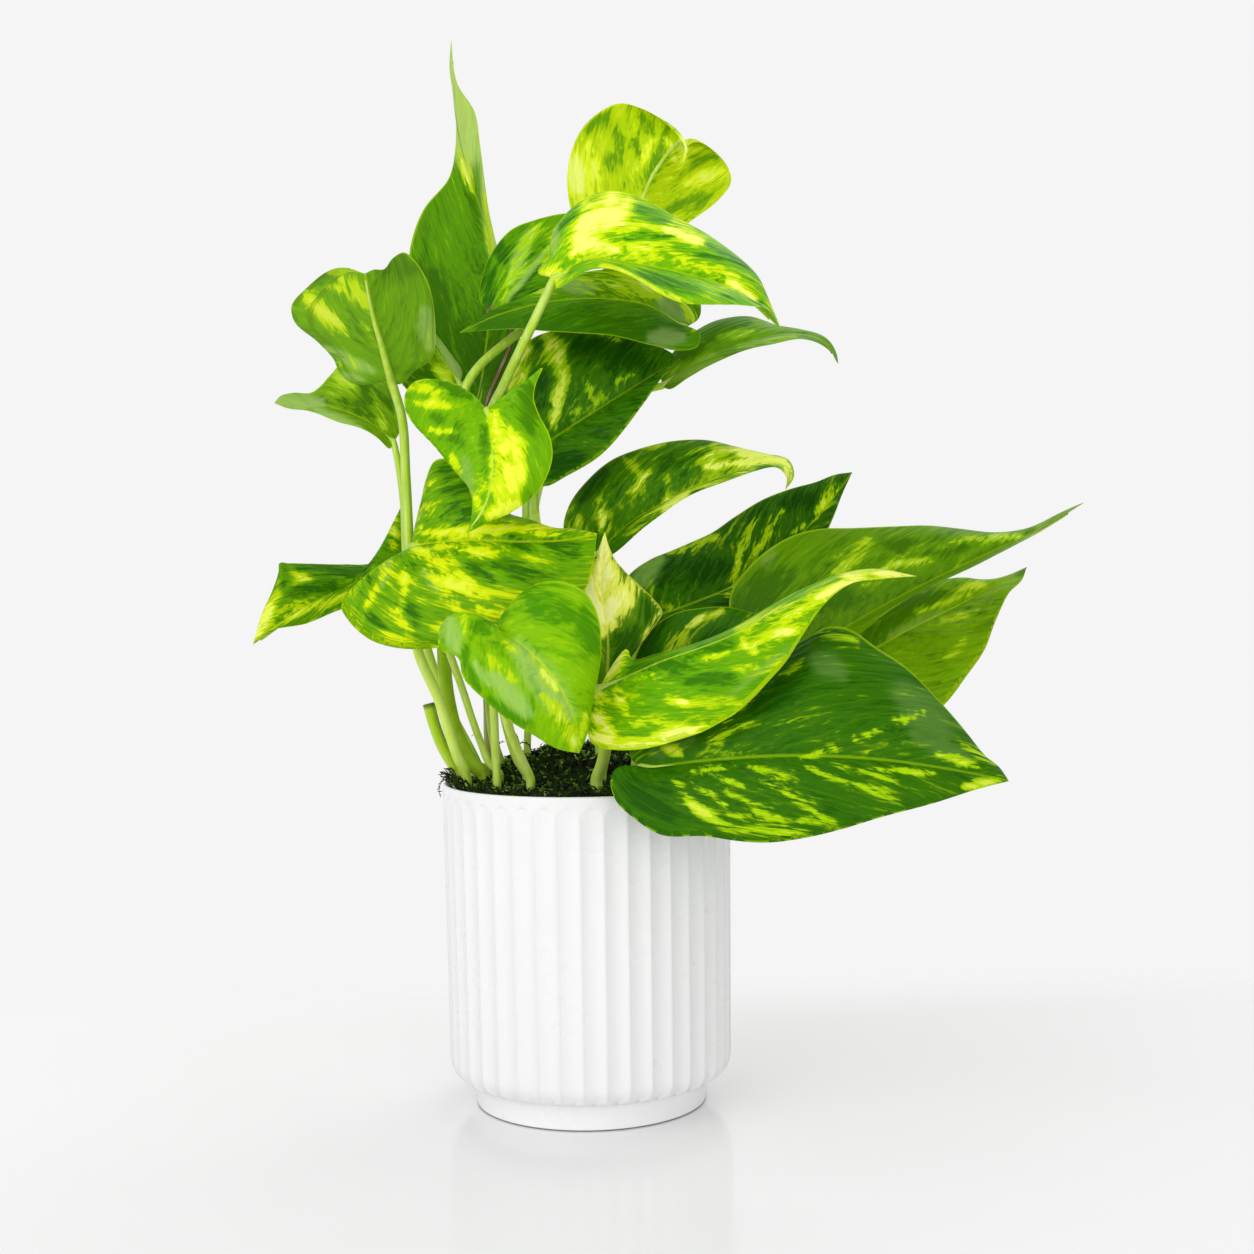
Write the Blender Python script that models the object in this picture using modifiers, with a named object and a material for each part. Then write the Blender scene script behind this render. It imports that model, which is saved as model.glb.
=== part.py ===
# Golden pothos in a white fluted pot. Metres, +Z up, the front faces -Y,
# the origin is the centre of the pot's underside.
import math

import bmesh
import bpy
import numpy as np
from mathutils import Matrix, Vector

MM = 0.001

# Pot, in millimetres
POT_RADIUS = 60.0          # over the smooth rim band
POT_HEIGHT = 134.0
POT_LOWER_RADIUS = 58.8    # the wall leans in slightly to here
SHOULDER_HEIGHT = 20.0     # where the wall starts to turn under
FOOT_RADIUS = 49.0
FOOT_BASE_RADIUS = 48.0
FOOT_HEIGHT = 11.5
RIM_BAND = 4.5             # plain band above the flutes
FLUTES = 40
FLUTE_DEPTH = 1.4
FLUTE_STEPS = 4            # facets across one flute
FLUTE_ARCH = 4.0           # height of the rounded top of a flute
FLUTE_TURN = -2.9          # degrees from the front to the nearest ridge between flutes
CAVITY_RADIUS = 56.0
CAVITY_FLOOR_RADIUS = 46.0
CAVITY_FLOOR = 10.0

# Soil, in millimetres
SOIL_GAP = 0.3
SOIL_TOP = 128.0
SOIL_DOME = 2.0
HOLE_FLOOR = 108.0
HOLE_CLEARANCE = 0.4

# Leaves, in millimetres
BLADE_THICKNESS = 0.9
BLADE_ROWS = 8
BLADE_COLUMNS = 6
STALK_STEP = 55.0          # stalk length between two points
FOOT_TOP = 133.0           # a stalk is straight from its foot up to here
STALK_FOOT = 108.6
RIB_REACH = 0.3            # the stalk runs on as a rib under this much of the blade

# Every leaf is drawn on the upright plane through the pot's axis, as it appears from
# VIEW_DISTANCE in front of that plane and EYE_HEIGHT above the base. The third number of a
# rib or stalk point is its depth behind the plane; place() slides the point back to it.
# "left" and "right" are the blade's margins from base to tip, with the tip away from the
# reader and the upper face up; lean is how far each margin stands behind the rib.
VIEW_DISTANCE = 748.0
EYE_HEIGHT = 220.0

LEAVES = {
    "leaf_01_tall_left": dict(
        rib=[(-42.5, 291, 50), (-37, 330, 46), (-36, 356, 42), (-42, 378, 38), (-48, 398, 35),
             (-51, 422, 32), (-51, 442, 30)],
        left=[(-48, 288), (-55, 294), (-59.5, 306), (-64, 320), (-68, 334), (-70, 346),
              (-69.5, 357), (-64, 372), (-53, 385), (-50, 396), (-49.5, 412), (-52, 430)],
        right=[(-37, 288), (-29.5, 293), (-25, 303), (-24, 315), (-27.5, 331), (-32.5, 350),
               (-36, 368), (-38, 385), (-40, 400), (-42, 412), (-49, 424)],
        lean=(10, -14), arch=(-2, 1), tint=(0.16, 0.38, 0.06),
        foot=(-43, 3), stalk_radius=(3.3, 2.2),
        stalk=[(-47.5, 141, 2), (-53, 151, 3), (-57, 166, 4), (-58.8, 188, 8), (-54, 250, 33),
               (-47.5, 276, 46)],
    ),
    "leaf_02_left_heart": dict(
        rib=[(-78.5, 302, -17), (-82, 316, -26), (-86, 331, -37), (-88.5, 346, -47)],
        left=[(-75.5, 300), (-72.5, 301.5), (-69.5, 305), (-65, 307.8), (-61.5, 310.5),
              (-59.7, 316), (-59.5, 322), (-60.5, 333), (-63, 343), (-67.5, 351), (-72, 354.5),
              (-77, 352), (-80.5, 347.8), (-85, 347.6)],
        right=[(-83, 301.5), (-88, 300), (-95, 301), (-100, 306), (-102, 311), (-108, 317.5),
               (-118, 326), (-119, 333), (-112, 341), (-103, 347.5), (-97, 348.5)],
        lean=(8, 6), arch=(-2, -2), tint=(0.2, 0.42, 0.05),
        foot=(-50, -6), stalk_radius=(2.3, 1.9),
        stalk=[(-54, 145, -8), (-61, 168, -7), (-70, 191, -5), (-72, 225, -6), (-73.2, 262, -7),
               (-74.3, 286, -11)],
    ),
    "leaf_03_left_low": dict(
        rib=[(-78, 276.5, 8), (-88, 284.5, 12), (-104, 291, 20), (-127, 293, 32)],
        left=[(-79.5, 273.5), (-84, 277.5), (-88, 280), (-95, 283.2), (-104, 286.3),
              (-114, 289.5), (-122, 291)],
        right=[(-76, 279), (-75, 288), (-78, 300), (-88, 309), (-98, 309), (-104, 303.5),
               (-108, 299.5), (-112, 297.2), (-119, 297.3), (-124.5, 295.8)],
        lean=(-8, 12), arch=(1, -2), tint=(0.14, 0.34, 0.05),
        foot=(-46, 15), stalk_radius=(2.2, 1.4),
        stalk=[(-58, 167, 17), (-67, 195, 14), (-73.5, 226, 5), (-74.3, 250, 4), (-76, 266, 4)],
    ),
    "leaf_04_front_heart": dict(
        rib=[(-39, 289, -40), (-37, 272, -50), (-39, 254, -52), (-48, 238, -50)],
        left=[(-30, 296), (-22, 301), (-15.5, 306.5), (-18.5, 300), (-19.5, 294), (-17, 286),
              (-13.5, 279), (-12, 270), (-15, 260), (-20, 253), (-30, 246), (-40, 242)],
        right=[(-45, 296), (-52, 300), (-62, 302), (-69.5, 300.5), (-72.8, 296), (-73, 290),
               (-69.5, 283.5), (-61, 274), (-53, 264), (-47, 256), (-46, 247)],
        lean=(3, 6), arch=(2, -3), tint=(0.24, 0.5, 0.05),
        foot=(-37, -11), stalk_radius=(1.8, 1.6),
        stalk=[(-38, 145, -10), (-38.4, 165, -8), (-40.2, 200, -2), (-42, 245, 1),
               (-42, 275, -14)],
    ),
    "leaf_05_top_round": dict(
        rib=[(20, 352, 35), (25, 370, 33), (32, 386, 30), (42, 398, 22), (45, 396, 12),
             (43, 387, 6)],
        left=[(8, 352), (-1, 366), (-4, 380), (-3, 392), (2, 404), (9, 411), (18, 415),
              (28, 412.5), (36, 408), (42, 402), (45, 397)],
        right=[(34, 356), (47, 366), (58, 374), (64, 382), (63, 388), (57, 395), (50, 398.5),
               (46, 397)],
        lean=(0, 2), arch=(-3, -3), tint=(0.36, 0.5, 0.05),
        foot=(-36, 17), stalk_radius=(2, 1.9),
        stalk=[(-38.4, 150, 17), (-41, 175, 18), (-50, 220, 18), (-52, 265, 10), (-47, 300, 3),
               (-25, 321, 14), (0, 337, 32)],
    ),
    "leaf_06_top_bright": dict(
        rib=[(-10, 343, -24), (4, 350.5, -32), (22, 349, -40), (45, 344, -45), (68, 336, -45),
             (84, 321, -40)],
        left=[(-17, 345.5), (-12.5, 352), (-11, 360), (-7, 367), (0, 374), (10, 379), (20, 378.5),
              (30, 374), (42, 367), (55, 360), (68, 350.5), (75, 343), (80, 331)],
        right=[(-9, 339), (-3, 342), (3, 346), (12, 347), (22, 343), (32, 337), (42, 333),
               (55, 331.5), (70, 330.5), (79, 329)],
        lean=(22, -22), arch=(4, 2), tint=(0.32, 0.56, 0.07),
        foot=(-25, 0), stalk_radius=(2.2, 1.9),
        stalk=[(-27.8, 141, 1), (-32.4, 155, 4), (-36.5, 180, 9), (-39, 205, 13),
               (-40.5, 245, 16), (-41, 278, 6), (-31, 301, -14), (-19, 325, -24)],
    ),
    "leaf_07_top_behind": dict(
        rib=[(-38, 329, 19), (-30, 341, 20), (-14, 352, 22), (8, 360, 24), (24, 362, 25)],
        left=[(-41, 334), (-40, 344), (-36, 354), (-28, 363), (-18, 367), (-6, 370), (8, 370),
              (18, 367)],
        right=[(-34, 327.5), (-26, 331), (-16, 336), (-4, 342), (8, 350), (18, 357)],
        lean=(6, -3), arch=(-2, 2), tint=(0.14, 0.32, 0.05),
        foot=(-41, 24), stalk_radius=(1.3, 1.1),
        stalk=[(-41.4, 150, 24), (-41.5, 166, 26), (-42.6, 200, 28), (-44, 245, 29),
               (-42.5, 275, 28), (-39.5, 291, 24), (-33.5, 305, 21), (-28.5, 317, 19),
               (-29, 323.5, 19), (-33, 327.5, 18.7)],
    ),
    "leaf_08_under_bright": dict(
        rib=[(44, 322, 15), (30, 331, 8), (12, 334.5, 3), (-12, 333.5, 1), (-34, 328, 1),
             (-50, 321, 1)],
        left=[(50, 320), (49, 314), (40, 312.5), (30, 315), (15, 319), (0, 320), (-12, 321),
              (-25, 322.5), (-38, 322)],
        right=[(50, 326), (50, 334), (40, 341), (25, 345), (8, 346), (-8, 342), (-22, 336),
               (-38, 329)],
        lean=(-9, 12), arch=(2, 2), tint=(0.14, 0.34, 0.05),
        foot=(-13, 28), stalk_radius=(2.4, 1.7),
        stalk=[(-17, 190, 38), (-20.5, 245, 50), (-12, 270, 52), (15, 295, 54), (34, 316, 50),
               (43, 328, 33)],
    ),
    "leaf_09_dark_middle": dict(
        rib=[(-22, 270, 20), (-5, 281, 17), (18, 295, 17), (42, 309, 20)],
        left=[(-30, 280), (-33, 294), (-29, 308), (-20, 318), (-5, 322), (10, 321), (25, 317),
              (36, 313)],
        right=[(-22, 262), (-16, 257), (-6, 261), (6, 268), (17, 279), (26, 290), (33, 300),
               (38, 306)],
        lean=(10, -10), arch=(2, 2), tint=(0.06, 0.18, 0.03),
        foot=(-25, 18), stalk_radius=(1.6, 1.6),
        stalk=[(-24.6, 150, 18), (-23, 170, 20), (-23, 220, 24), (-23.5, 250, 24)],
    ),
    "leaf_10_hooked": dict(
        rib=[(34, 298, 30), (46, 307, 32), (66, 315, 36), (88, 319, 42), (102, 316, 47),
             (108, 306, 48)],
        left=[(34, 304), (40, 313), (49, 321), (58, 325.5), (70, 326.5), (82, 322.5), (95, 319.5),
              (103, 316.5), (107, 311)],
        right=[(37, 296.5), (45, 301), (55, 307), (64, 310.5), (78, 314), (92, 317), (101, 314),
               (106.5, 309)],
        lean=(16, -10), arch=(2, 1), tint=(0.07, 0.2, 0.03),
        foot=(-3, 30), stalk_radius=(2.2, 1.6),
        stalk=[(-12, 190, 31), (-18, 232, 36), (-19.5, 256, 40), (-14, 272, 42), (8, 287, 42),
               (22, 295, 38)],
    ),
    "leaf_11_right_arched": dict(
        rib=[(4, 227, 15), (20, 241, 10), (42, 253, 2), (64, 261.5, -8), (80, 265.5, -15),
             (87, 262, -18), (85, 254, -19)],
        left=[(-4, 230), (-8, 239), (-5, 250), (3, 260), (12, 267), (22, 271), (38, 275),
              (52, 275.5), (66, 272), (79, 268.5), (87, 266), (88.5, 259)],
        right=[(8, 226), (14, 229), (27, 240.5), (40, 249), (55, 256), (72, 262), (82, 263),
               (85.5, 259)],
        lean=(16, -14), arch=(3, 1), tint=(0.09, 0.24, 0.03),
        foot=(6, 14), stalk_radius=(2.2, 1.7),
        stalk=[(5, 170, 16), (3, 205, 17)],
    ),
    "leaf_12_right_upper": dict(
        rib=[(22, 200, 4), (45, 207, 14), (70, 218, 26), (92, 236, 37), (104, 249, 43),
             (113.3, 261, 47)],
        left=[(17, 210), (18.5, 218.5), (28, 225.9), (36, 229), (45, 232.4), (54, 236.3),
              (63, 242.6), (75, 250), (86, 254), (98, 257), (106, 260)],
        right=[(26, 193), (45, 190), (65, 197), (85, 210), (98, 228), (105, 242), (109, 252)],
        lean=(18, 1), arch=(2, 2), tint=(0.06, 0.18, 0.03),
        foot=(25, 8), stalk_radius=(2.3, 1.8),
        stalk=[(22, 150, 8), (19, 170, 6), (18.5, 186, 5)],
    ),
    "leaf_13_right_long": dict(
        rib=[(85, 180, -10), (110, 196, -8), (140, 212, -6), (168, 225, -2), (190, 235, 4),
             (211, 247, 10)],
        left=[(72, 186), (62, 198), (61.5, 211), (67.5, 220), (77, 228.8), (88, 235), (99, 237.6),
              (112, 237.6), (130, 237.8), (145, 238), (160, 236.5), (175, 234.8), (188, 236),
              (200, 242)],
        right=[(92, 177), (110, 190), (130, 203.5), (150, 214.5), (170, 224), (185, 231),
               (197, 239)],
        lean=(16, -16), arch=(3, 0), tint=(0.1, 0.2, 0.03),
        foot=(34, 0), stalk_radius=(2.6, 2),
        stalk=[(44, 150, -2), (62, 168, -8)],
    ),
    "leaf_14_right_back": dict(
        rib=[(112, 181, 18), (135, 194, 26), (160, 206, 35), (186.4, 220.2, 44)],
        left=[(108, 189), (118, 201), (135, 210), (150, 215.2), (159, 216), (167, 215.2),
              (175.3, 215.8), (181, 217.3)],
        right=[(113, 170), (125, 160), (140, 156), (150.5, 162.5), (160.4, 174.5), (168, 185.2),
               (173.2, 198.5), (178.8, 209.5), (184.2, 214.6)],
        lean=(10, -20), arch=(2, 2), tint=(0.16, 0.26, 0.05),
        foot=(41, 14), stalk_radius=(2.4, 1.9),
        stalk=[(58, 155, 14), (85, 170, 16)],
    ),
    "leaf_15_right_curled": dict(
        rib=[(6, 172, -52), (30, 182.5, -67), (60, 193, -73), (85, 206, -72), (108, 217, -67),
             (122, 219, -62), (140, 217, -55)],
        left=[(9, 178), (18, 188.5), (20, 184), (30, 186), (60, 196), (78, 205), (95, 214),
              (108, 219), (122, 220.5)],
        right=[(2, 164), (0.8, 154), (1.5, 150.3), (4, 147.8), (9, 146.6), (16, 146), (24, 146.5),
               (33, 148.4), (41, 150.6), (49.5, 153.3), (56, 156.5), (62.6, 160.2), (70, 166.5),
               (77, 174), (84, 181.8), (92, 194), (101, 206), (112, 214), (125, 216)],
        lean=(14, -12), arch=(0, 3), tint=(0.12, 0.32, 0.03),
        foot=(4, -26), stalk_radius=(2.5, 2),
        stalk=[(6.3, 140, -28), (8, 148, -33), (7.5, 162, -43)],
    ),
    "leaf_16_right_big": dict(
        rib=[(23, 138, -64), (50, 141, -76), (85, 142.5, -86), (120, 140.5, -92), (150, 136, -93),
             (178, 130, -90)],
        left=[(18, 144), (22, 153), (35, 162), (55, 172), (75, 182), (92, 191), (103, 196.5),
              (112, 195), (122, 188), (135, 179), (150, 163), (160, 151), (168, 141), (174, 136)],
        right=[(13, 139), (10, 134), (12, 125), (20, 117), (31, 110), (50, 109), (62, 107),
               (75, 106), (90, 107.5), (105, 110.5), (125, 116), (145, 121), (165, 127)],
        lean=(22, -10), arch=(5, 3), tint=(0.06, 0.2, 0.02),
        foot=(25, -28), stalk_radius=(2.8, 2.2),
        stalk=[(26, 142, -42), (25, 141, -55)],
    ),
    "leaf_17_cream": dict(
        rib=[(9, 172, -26), (9.8, 192, -28), (7.6, 215, -30), (9.2, 237.5, -26)],
        left=[(3, 176), (-1, 190), (-3, 206), (-1.2, 217), (2.2, 222), (5.3, 226), (7, 231.5)],
        right=[(14, 177), (21, 187), (27.5, 195.5), (33, 203.7), (29.5, 209), (24.6, 213.9),
               (18.5, 219.8), (13.4, 226), (11, 231.5)],
        lean=(0, 4), arch=(2, 2), tint=(0.45, 0.55, 0.2),
        foot=(6, -8), stalk_radius=(2.3, 2),
        stalk=[(8, 145, -11), (10, 158, -16)],
    ),
    "leaf_18_front_centre": dict(
        rib=[(-37, 198, -66), (-24, 189, -77), (-12, 175, -82), (-5, 160, -81), (-3, 145, -77)],
        left=[(-34, 204), (-28, 211), (-20, 216), (-10, 217), (0, 213), (5.5, 204), (7, 190),
              (5.5, 178), (3, 165), (1, 154)],
        right=[(-43, 200), (-50, 205), (-57, 203), (-61, 196), (-60, 189), (-53, 186), (-51, 178),
               (-43, 169), (-33, 160), (-22, 153), (-12, 147)],
        lean=(10, -3), arch=(3, 3), tint=(0.16, 0.4, 0.04),
        foot=(-23, -20), stalk_radius=(1.9, 1.7),
        stalk=[(-26.2, 141, -22), (-31.4, 154, -28), (-35.5, 170, -40), (-38, 186, -56)],
        solver="MANIFOLD",
    ),
    "leaf_19_wide_left": dict(
        rib=[(-71, 233, -20), (-50, 235, -34), (-25, 234, -41), (-6, 234.5, -41), (6, 237, -38)],
        left=[(-70, 240), (-67, 252), (-65, 261), (-61, 268.5), (-52, 268), (-42, 258),
              (-32, 247), (-22, 243.5), (-12, 239.5), (-3, 239)],
        right=[(-84, 223), (-97, 215), (-101, 208), (-98, 202), (-90, 194.5), (-80, 191),
               (-66, 190), (-52, 192), (-38, 197), (-24, 204), (-9, 209.5), (0.5, 213.5),
               (4, 223)],
        lean=(16, -14), arch=(3, 4), tint=(0.16, 0.4, 0.04),
        foot=(-36, -2), stalk_radius=(1.5, 1.7),
        stalk=[(-40.5, 141, 0), (-44, 150, 2), (-47.4, 160, 1), (-52, 175, 0), (-57, 190, -2),
               (-64, 213, -6)],
    ),
    "leaf_20_left_inner": dict(
        rib=[(-50, 300, 26), (-58, 312, 27), (-68, 328, 28), (-76, 340, 30)],
        left=[(-56, 297), (-64, 295.5), (-71, 297), (-76, 304), (-78, 316), (-78, 330)],
        right=[(-49, 305), (-54, 313), (-60, 321.5), (-67, 332)],
        lean=(0, 0), arch=(1, 1), tint=(0.24, 0.4, 0.05),
        foot=(-27, 30), stalk_radius=(1.8, 1.4),
        stalk=[(-31.5, 155, 32), (-35.5, 180, 34), (-42, 230, 36), (-46, 275, 32)],
    ),
    "leaf_21_right_inner": dict(
        rib=[(25, 165, -16), (42, 180, -20), (62, 192, -26), (88, 204, -29)],
        left=[(20, 177), (22, 187), (28.5, 197), (38, 203), (48, 205), (60, 205.5), (73, 202.5)],
        right=[(32, 163), (48, 172), (65, 183), (78, 195)],
        lean=(4, -2), arch=(1, 1), tint=(0.06, 0.18, 0.03),
        foot=(20, -10), stalk_radius=(2, 1.6),
        stalk=[(21, 145, -10), (22, 156, -12)],
    ),
    "leaf_22_left_tip": dict(
        rib=[(-80, 222, 9), (-98, 217, 2), (-118, 207, -12), (-138, 193, -28)],
        left=[(-86, 214), (-96, 208.8), (-106, 204.9), (-115.5, 201.6), (-124.5, 199.8),
              (-131, 198.3), (-135.3, 195.8)],
        right=[(-73, 226), (-71, 236), (-75, 249.5), (-79, 240), (-82.5, 231), (-87, 226.5),
               (-100, 226), (-114, 226.2), (-123, 226.4), (-126.4, 226.6), (-126.8, 223),
               (-129.8, 214.5), (-133.8, 206.5)],
        lean=(-8, 12), arch=(1, 1), tint=(0.16, 0.36, 0.04),
        foot=(-40, 12), stalk_radius=(1.5, 1.5),
        stalk=[(-42.8, 147, 14), (-47.3, 160, 17), (-52, 175, 19), (-58, 188, 21), (-70, 208, 23),
               (-78, 217, 17)],
    ),
    "leaf_23_back_left": dict(
        rib=[(-30, 240, 58), (-52, 236, 76), (-72, 216, 92), (-84, 196, 98)],
        left=[(-24, 236), (-22, 220), (-34, 204), (-52, 196), (-70, 193)],
        right=[(-30, 246), (-42, 250), (-60, 244), (-76, 228), (-83, 212)],
        lean=(4, -4), arch=(2, 2), tint=(0.1, 0.26, 0.03),
        foot=(-15, 42), stalk_radius=(2.2, 1.6),
        stalk=[(-18, 175, 52), (-24, 220, 62)],
    ),
    "leaf_24_back_right": dict(
        rib=[(30, 205, 60), (40, 188, 82), (46, 166, 98), (46, 150, 102)],
        left=[(38, 208), (56, 202), (66, 186), (62, 168), (52, 154)],
        right=[(24, 206), (14, 196), (14, 178), (24, 162), (36, 152)],
        lean=(-6, -4), arch=(2, 2), tint=(0.1, 0.26, 0.03),
        foot=(13, 42), stalk_radius=(2.2, 1.6),
        stalk=[(16, 165, 48), (24, 195, 56)],
    ),
    "leaf_25_back_upper": dict(
        rib=[(-8, 282, 62), (0, 292, 74), (10, 300, 84), (20, 306, 90)],
        left=[(-14, 290), (-11, 302), (-2, 311), (8, 312)],
        right=[(-2, 279), (8, 285), (16, 293)],
        lean=(-4, -4), arch=(2, 2), tint=(0.1, 0.26, 0.03),
        foot=(-2, 46), stalk_radius=(2.1, 1.5),
        stalk=[(-8, 165, 50), (-14, 205, 62), (-20, 235, 71), (-21, 256, 71), (-15, 270, 67)],
    ),
}

# A short cut-off stem beside the left stalks
STUB_FOOT = (-51, 6)
STUB_STALK = [(-55, 140, 8), (-60, 149, 10), (-63.5, 159, 11), (-65.5, 167, 11)]
STUB_RADIUS = (2.4, 2.6)


def make_collection(name, hidden=False):
    collection = bpy.data.collections.new(name)
    bpy.context.scene.collection.children.link(collection)
    collection.hide_render = hidden
    return collection


def make_material(name, color, roughness):
    material = bpy.data.materials.new(name)
    material.use_nodes = True
    shader = material.node_tree.nodes["Principled BSDF"]
    shader.inputs["Base Color"].default_value = (*color, 1)
    shader.inputs["Roughness"].default_value = roughness
    material.diffuse_color = (*color, 1)
    return material


def add_object(name, mesh, collection, material=None):
    item = bpy.data.objects.new(name, mesh)
    collection.objects.link(item)
    if material:
        mesh.materials.clear()
        mesh.materials.append(material)
    return item


def add_cutter(name, mesh, collection):
    cutter = add_object(name, mesh, collection)
    cutter.display_type = "WIRE"
    cutter.hide_render = True
    return cutter


def boolean(item, other, operation, solver="EXACT"):
    modifier = item.modifiers.new(operation.title(), "BOOLEAN")
    modifier.operation = operation
    modifier.solver = solver
    modifier.object = other


def place(x, z, depth):
    """A point drawn on the upright plane, slid back along its line of sight."""
    scale = 1 + depth / VIEW_DISTANCE
    return np.array([x * scale, depth, EYE_HEIGHT + (z - EYE_HEIGHT) * scale])


def smooth_curve(points, steps):
    """Points at the given fractions of a smooth curve through the points."""
    points = np.asarray(points, float)
    gaps = np.linalg.norm(np.diff(points, axis=0), axis=1) ** 0.6
    knots = np.concatenate([[0], np.cumsum(gaps)])
    slopes = np.gradient(points, knots, axis=0)
    fine = np.linspace(0, knots[-1], 400)
    index = np.clip(np.searchsorted(knots, fine, side="right") - 1, 0, len(knots) - 2)
    width = (knots[index + 1] - knots[index])[:, None]
    s = (fine - knots[index])[:, None] / width
    curve = (
        (2 * s**3 - 3 * s**2 + 1) * points[index]
        + (s**3 - 2 * s**2 + s) * width * slopes[index]
        + (3 * s**2 - 2 * s**3) * points[index + 1]
        + (s**3 - s**2) * width * slopes[index + 1]
    )
    length = np.concatenate([[0], np.cumsum(np.linalg.norm(np.diff(curve, axis=0), axis=1))])
    at = np.asarray(steps) * length[-1]
    return np.stack([np.interp(at, length, curve[:, k]) for k in range(points.shape[1])], 1)


def unit(vectors):
    return vectors / np.maximum(np.linalg.norm(vectors, axis=-1, keepdims=True), 1e-9)


def rib_points(leaf, steps):
    return np.array([place(*point) for point in smooth_curve(leaf["rib"], steps)])


def blade_points(leaf, rows, columns):
    """The blade's middle surface, from base to tip and from its left margin to its right."""
    t = np.linspace(0, 1, rows + 1)
    along = t ** 1.4
    drawn = smooth_curve(leaf["rib"], along)
    rib = rib_points(leaf, along)
    ahead = rib_points(leaf, np.clip(along + 0.01, 0, 1))
    behind = rib_points(leaf, np.clip(along - 0.01, 0, 1))
    tangent = unit(ahead - behind)
    start, end = leaf["rib"][0][:2], leaf["rib"][-1][:2]
    half = columns // 2
    grid = np.zeros((rows + 1, columns + 1, 3))
    for side, margin, lean, arch in zip((-1, 1), (leaf["left"], leaf["right"]),
                                        leaf["lean"], leaf["arch"]):
        edge = smooth_curve([start, *margin, end], t)
        depth = drawn[:, 2] + lean * np.sin(np.pi * t) ** 0.6
        edge = np.array([place(x, z, y) for (x, z), y in zip(edge, depth)])
        across = edge - rib
        normal = unit(np.cross(side * across, tangent))
        for column in range(half + 1):
            u = column / half
            rise = 4 * arch * u * (1 - u) * np.sin(np.pi * t) ** 0.8
            grid[:, half + side * column] = rib + across * u + normal * rise[:, None]
    return grid


def blade_mesh(name, leaf):
    """One closed sheet of even thickness, drawn in at its base and its tip."""
    grid = blade_points(leaf, BLADE_ROWS, BLADE_COLUMNS)
    sheet = bmesh.new()
    bmesh.ops.create_grid(sheet, x_segments=BLADE_ROWS, y_segments=BLADE_COLUMNS, size=1)
    for vertex in sheet.verts:
        row = round((vertex.co.x + 1) / 2 * BLADE_ROWS)
        column = round((vertex.co.y + 1) / 2 * BLADE_COLUMNS)
        vertex.co = Vector(grid[row, column] * MM)
    bmesh.ops.remove_doubles(sheet, verts=sheet.verts, dist=1e-5)
    bmesh.ops.triangulate(sheet, faces=sheet.faces, quad_method="FIXED")
    bmesh.ops.recalc_face_normals(sheet, faces=sheet.faces)
    mesh = bpy.data.meshes.new(name)
    sheet.to_mesh(mesh)
    sheet.free()
    return mesh


def tube_mesh(name, points, radii):
    """A round stalk through the points, closed at both ends."""
    curve = bpy.data.curves.new(name, "CURVE")
    curve.dimensions = "3D"
    curve.bevel_depth = MM
    curve.bevel_resolution = 2
    curve.use_fill_caps = True
    spline = curve.splines.new("POLY")
    spline.points.add(len(points) - 1)
    for knot, point, radius in zip(spline.points, points, radii):
        knot.co = (*(np.asarray(point) * MM), 1)
        knot.radius = radius
    carrier = bpy.data.objects.new(name, curve)
    mesh = bpy.data.meshes.new_from_object(carrier)
    bpy.data.objects.remove(carrier)
    bpy.data.curves.remove(curve)
    merged = bmesh.new()
    merged.from_mesh(mesh)
    bmesh.ops.remove_doubles(merged, verts=merged.verts, dist=1e-6)
    bmesh.ops.recalc_face_normals(merged, faces=merged.faces)
    merged.to_mesh(mesh)
    merged.free()
    return mesh


def stalk_path(leaf):
    """The stalk's centre line and radii, from its foot in the soil to under the blade."""
    x, y = leaf["foot"]
    foot_top = np.array([x, y, FOOT_TOP])
    lower, upper = leaf["stalk_radius"]
    rising = [foot_top, foot_top + (0, 0, 4)]
    rising += [place(*point) for point in leaf["stalk"]]
    rib = rib_points(leaf, np.array([0, RIB_REACH / 2, RIB_REACH]))
    blade = blade_points(leaf, BLADE_ROWS, BLADE_COLUMNS)
    middle = BLADE_COLUMNS // 2
    across = unit(blade[3, middle + 1] - blade[3, middle - 1])
    face = unit(np.cross(across, unit(rib[2] - rib[0])))
    reach = np.linalg.norm(rib[0] - foot_top)
    count = 4 + round(reach / STALK_STEP)
    path = list(smooth_curve(rising + [rib[0]], np.linspace(0, 1, count)))
    path = [np.array([x, y, STALK_FOOT])] + path
    radii = [lower, lower] + list(np.linspace(lower, upper, count)[1:])
    for point, sink, share in zip(rib[1:], (0.5, 0.5), (0.75, 0.4)):
        path.append(point - face * sink)
        radii.append(upper * share)
    return path, radii


def add_leaf(name, leaf, collection, helpers):
    material = make_material(name, leaf["tint"], 0.35)
    item = add_object(name, blade_mesh(name, leaf), collection, material)
    solidify = item.modifiers.new("Thickness", "SOLIDIFY")
    solidify.thickness = BLADE_THICKNESS * MM
    solidify.offset = 0
    path, radii = stalk_path(leaf)
    stalk = add_cutter(name + "_stalk", tube_mesh(name + "_stalk", path, radii), helpers)
    boolean(item, stalk, "UNION", leaf.get("solver", "EXACT"))
    return item


def flute_dip(angle, height):
    """How far the wall is hollowed at this angle and height."""
    pitch = 2 * math.pi / FLUTES
    across = 2 * abs((angle / pitch) % 1 - 0.5)
    below = min(max((POT_HEIGHT - RIM_BAND - height) / FLUTE_ARCH, 0), 1)
    width = math.sqrt(1 - (1 - below) ** 2)
    if width < 0.01:
        return 0.0
    return FLUTE_DEPTH * max(1 - (across / width) ** 2, 0)


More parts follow.
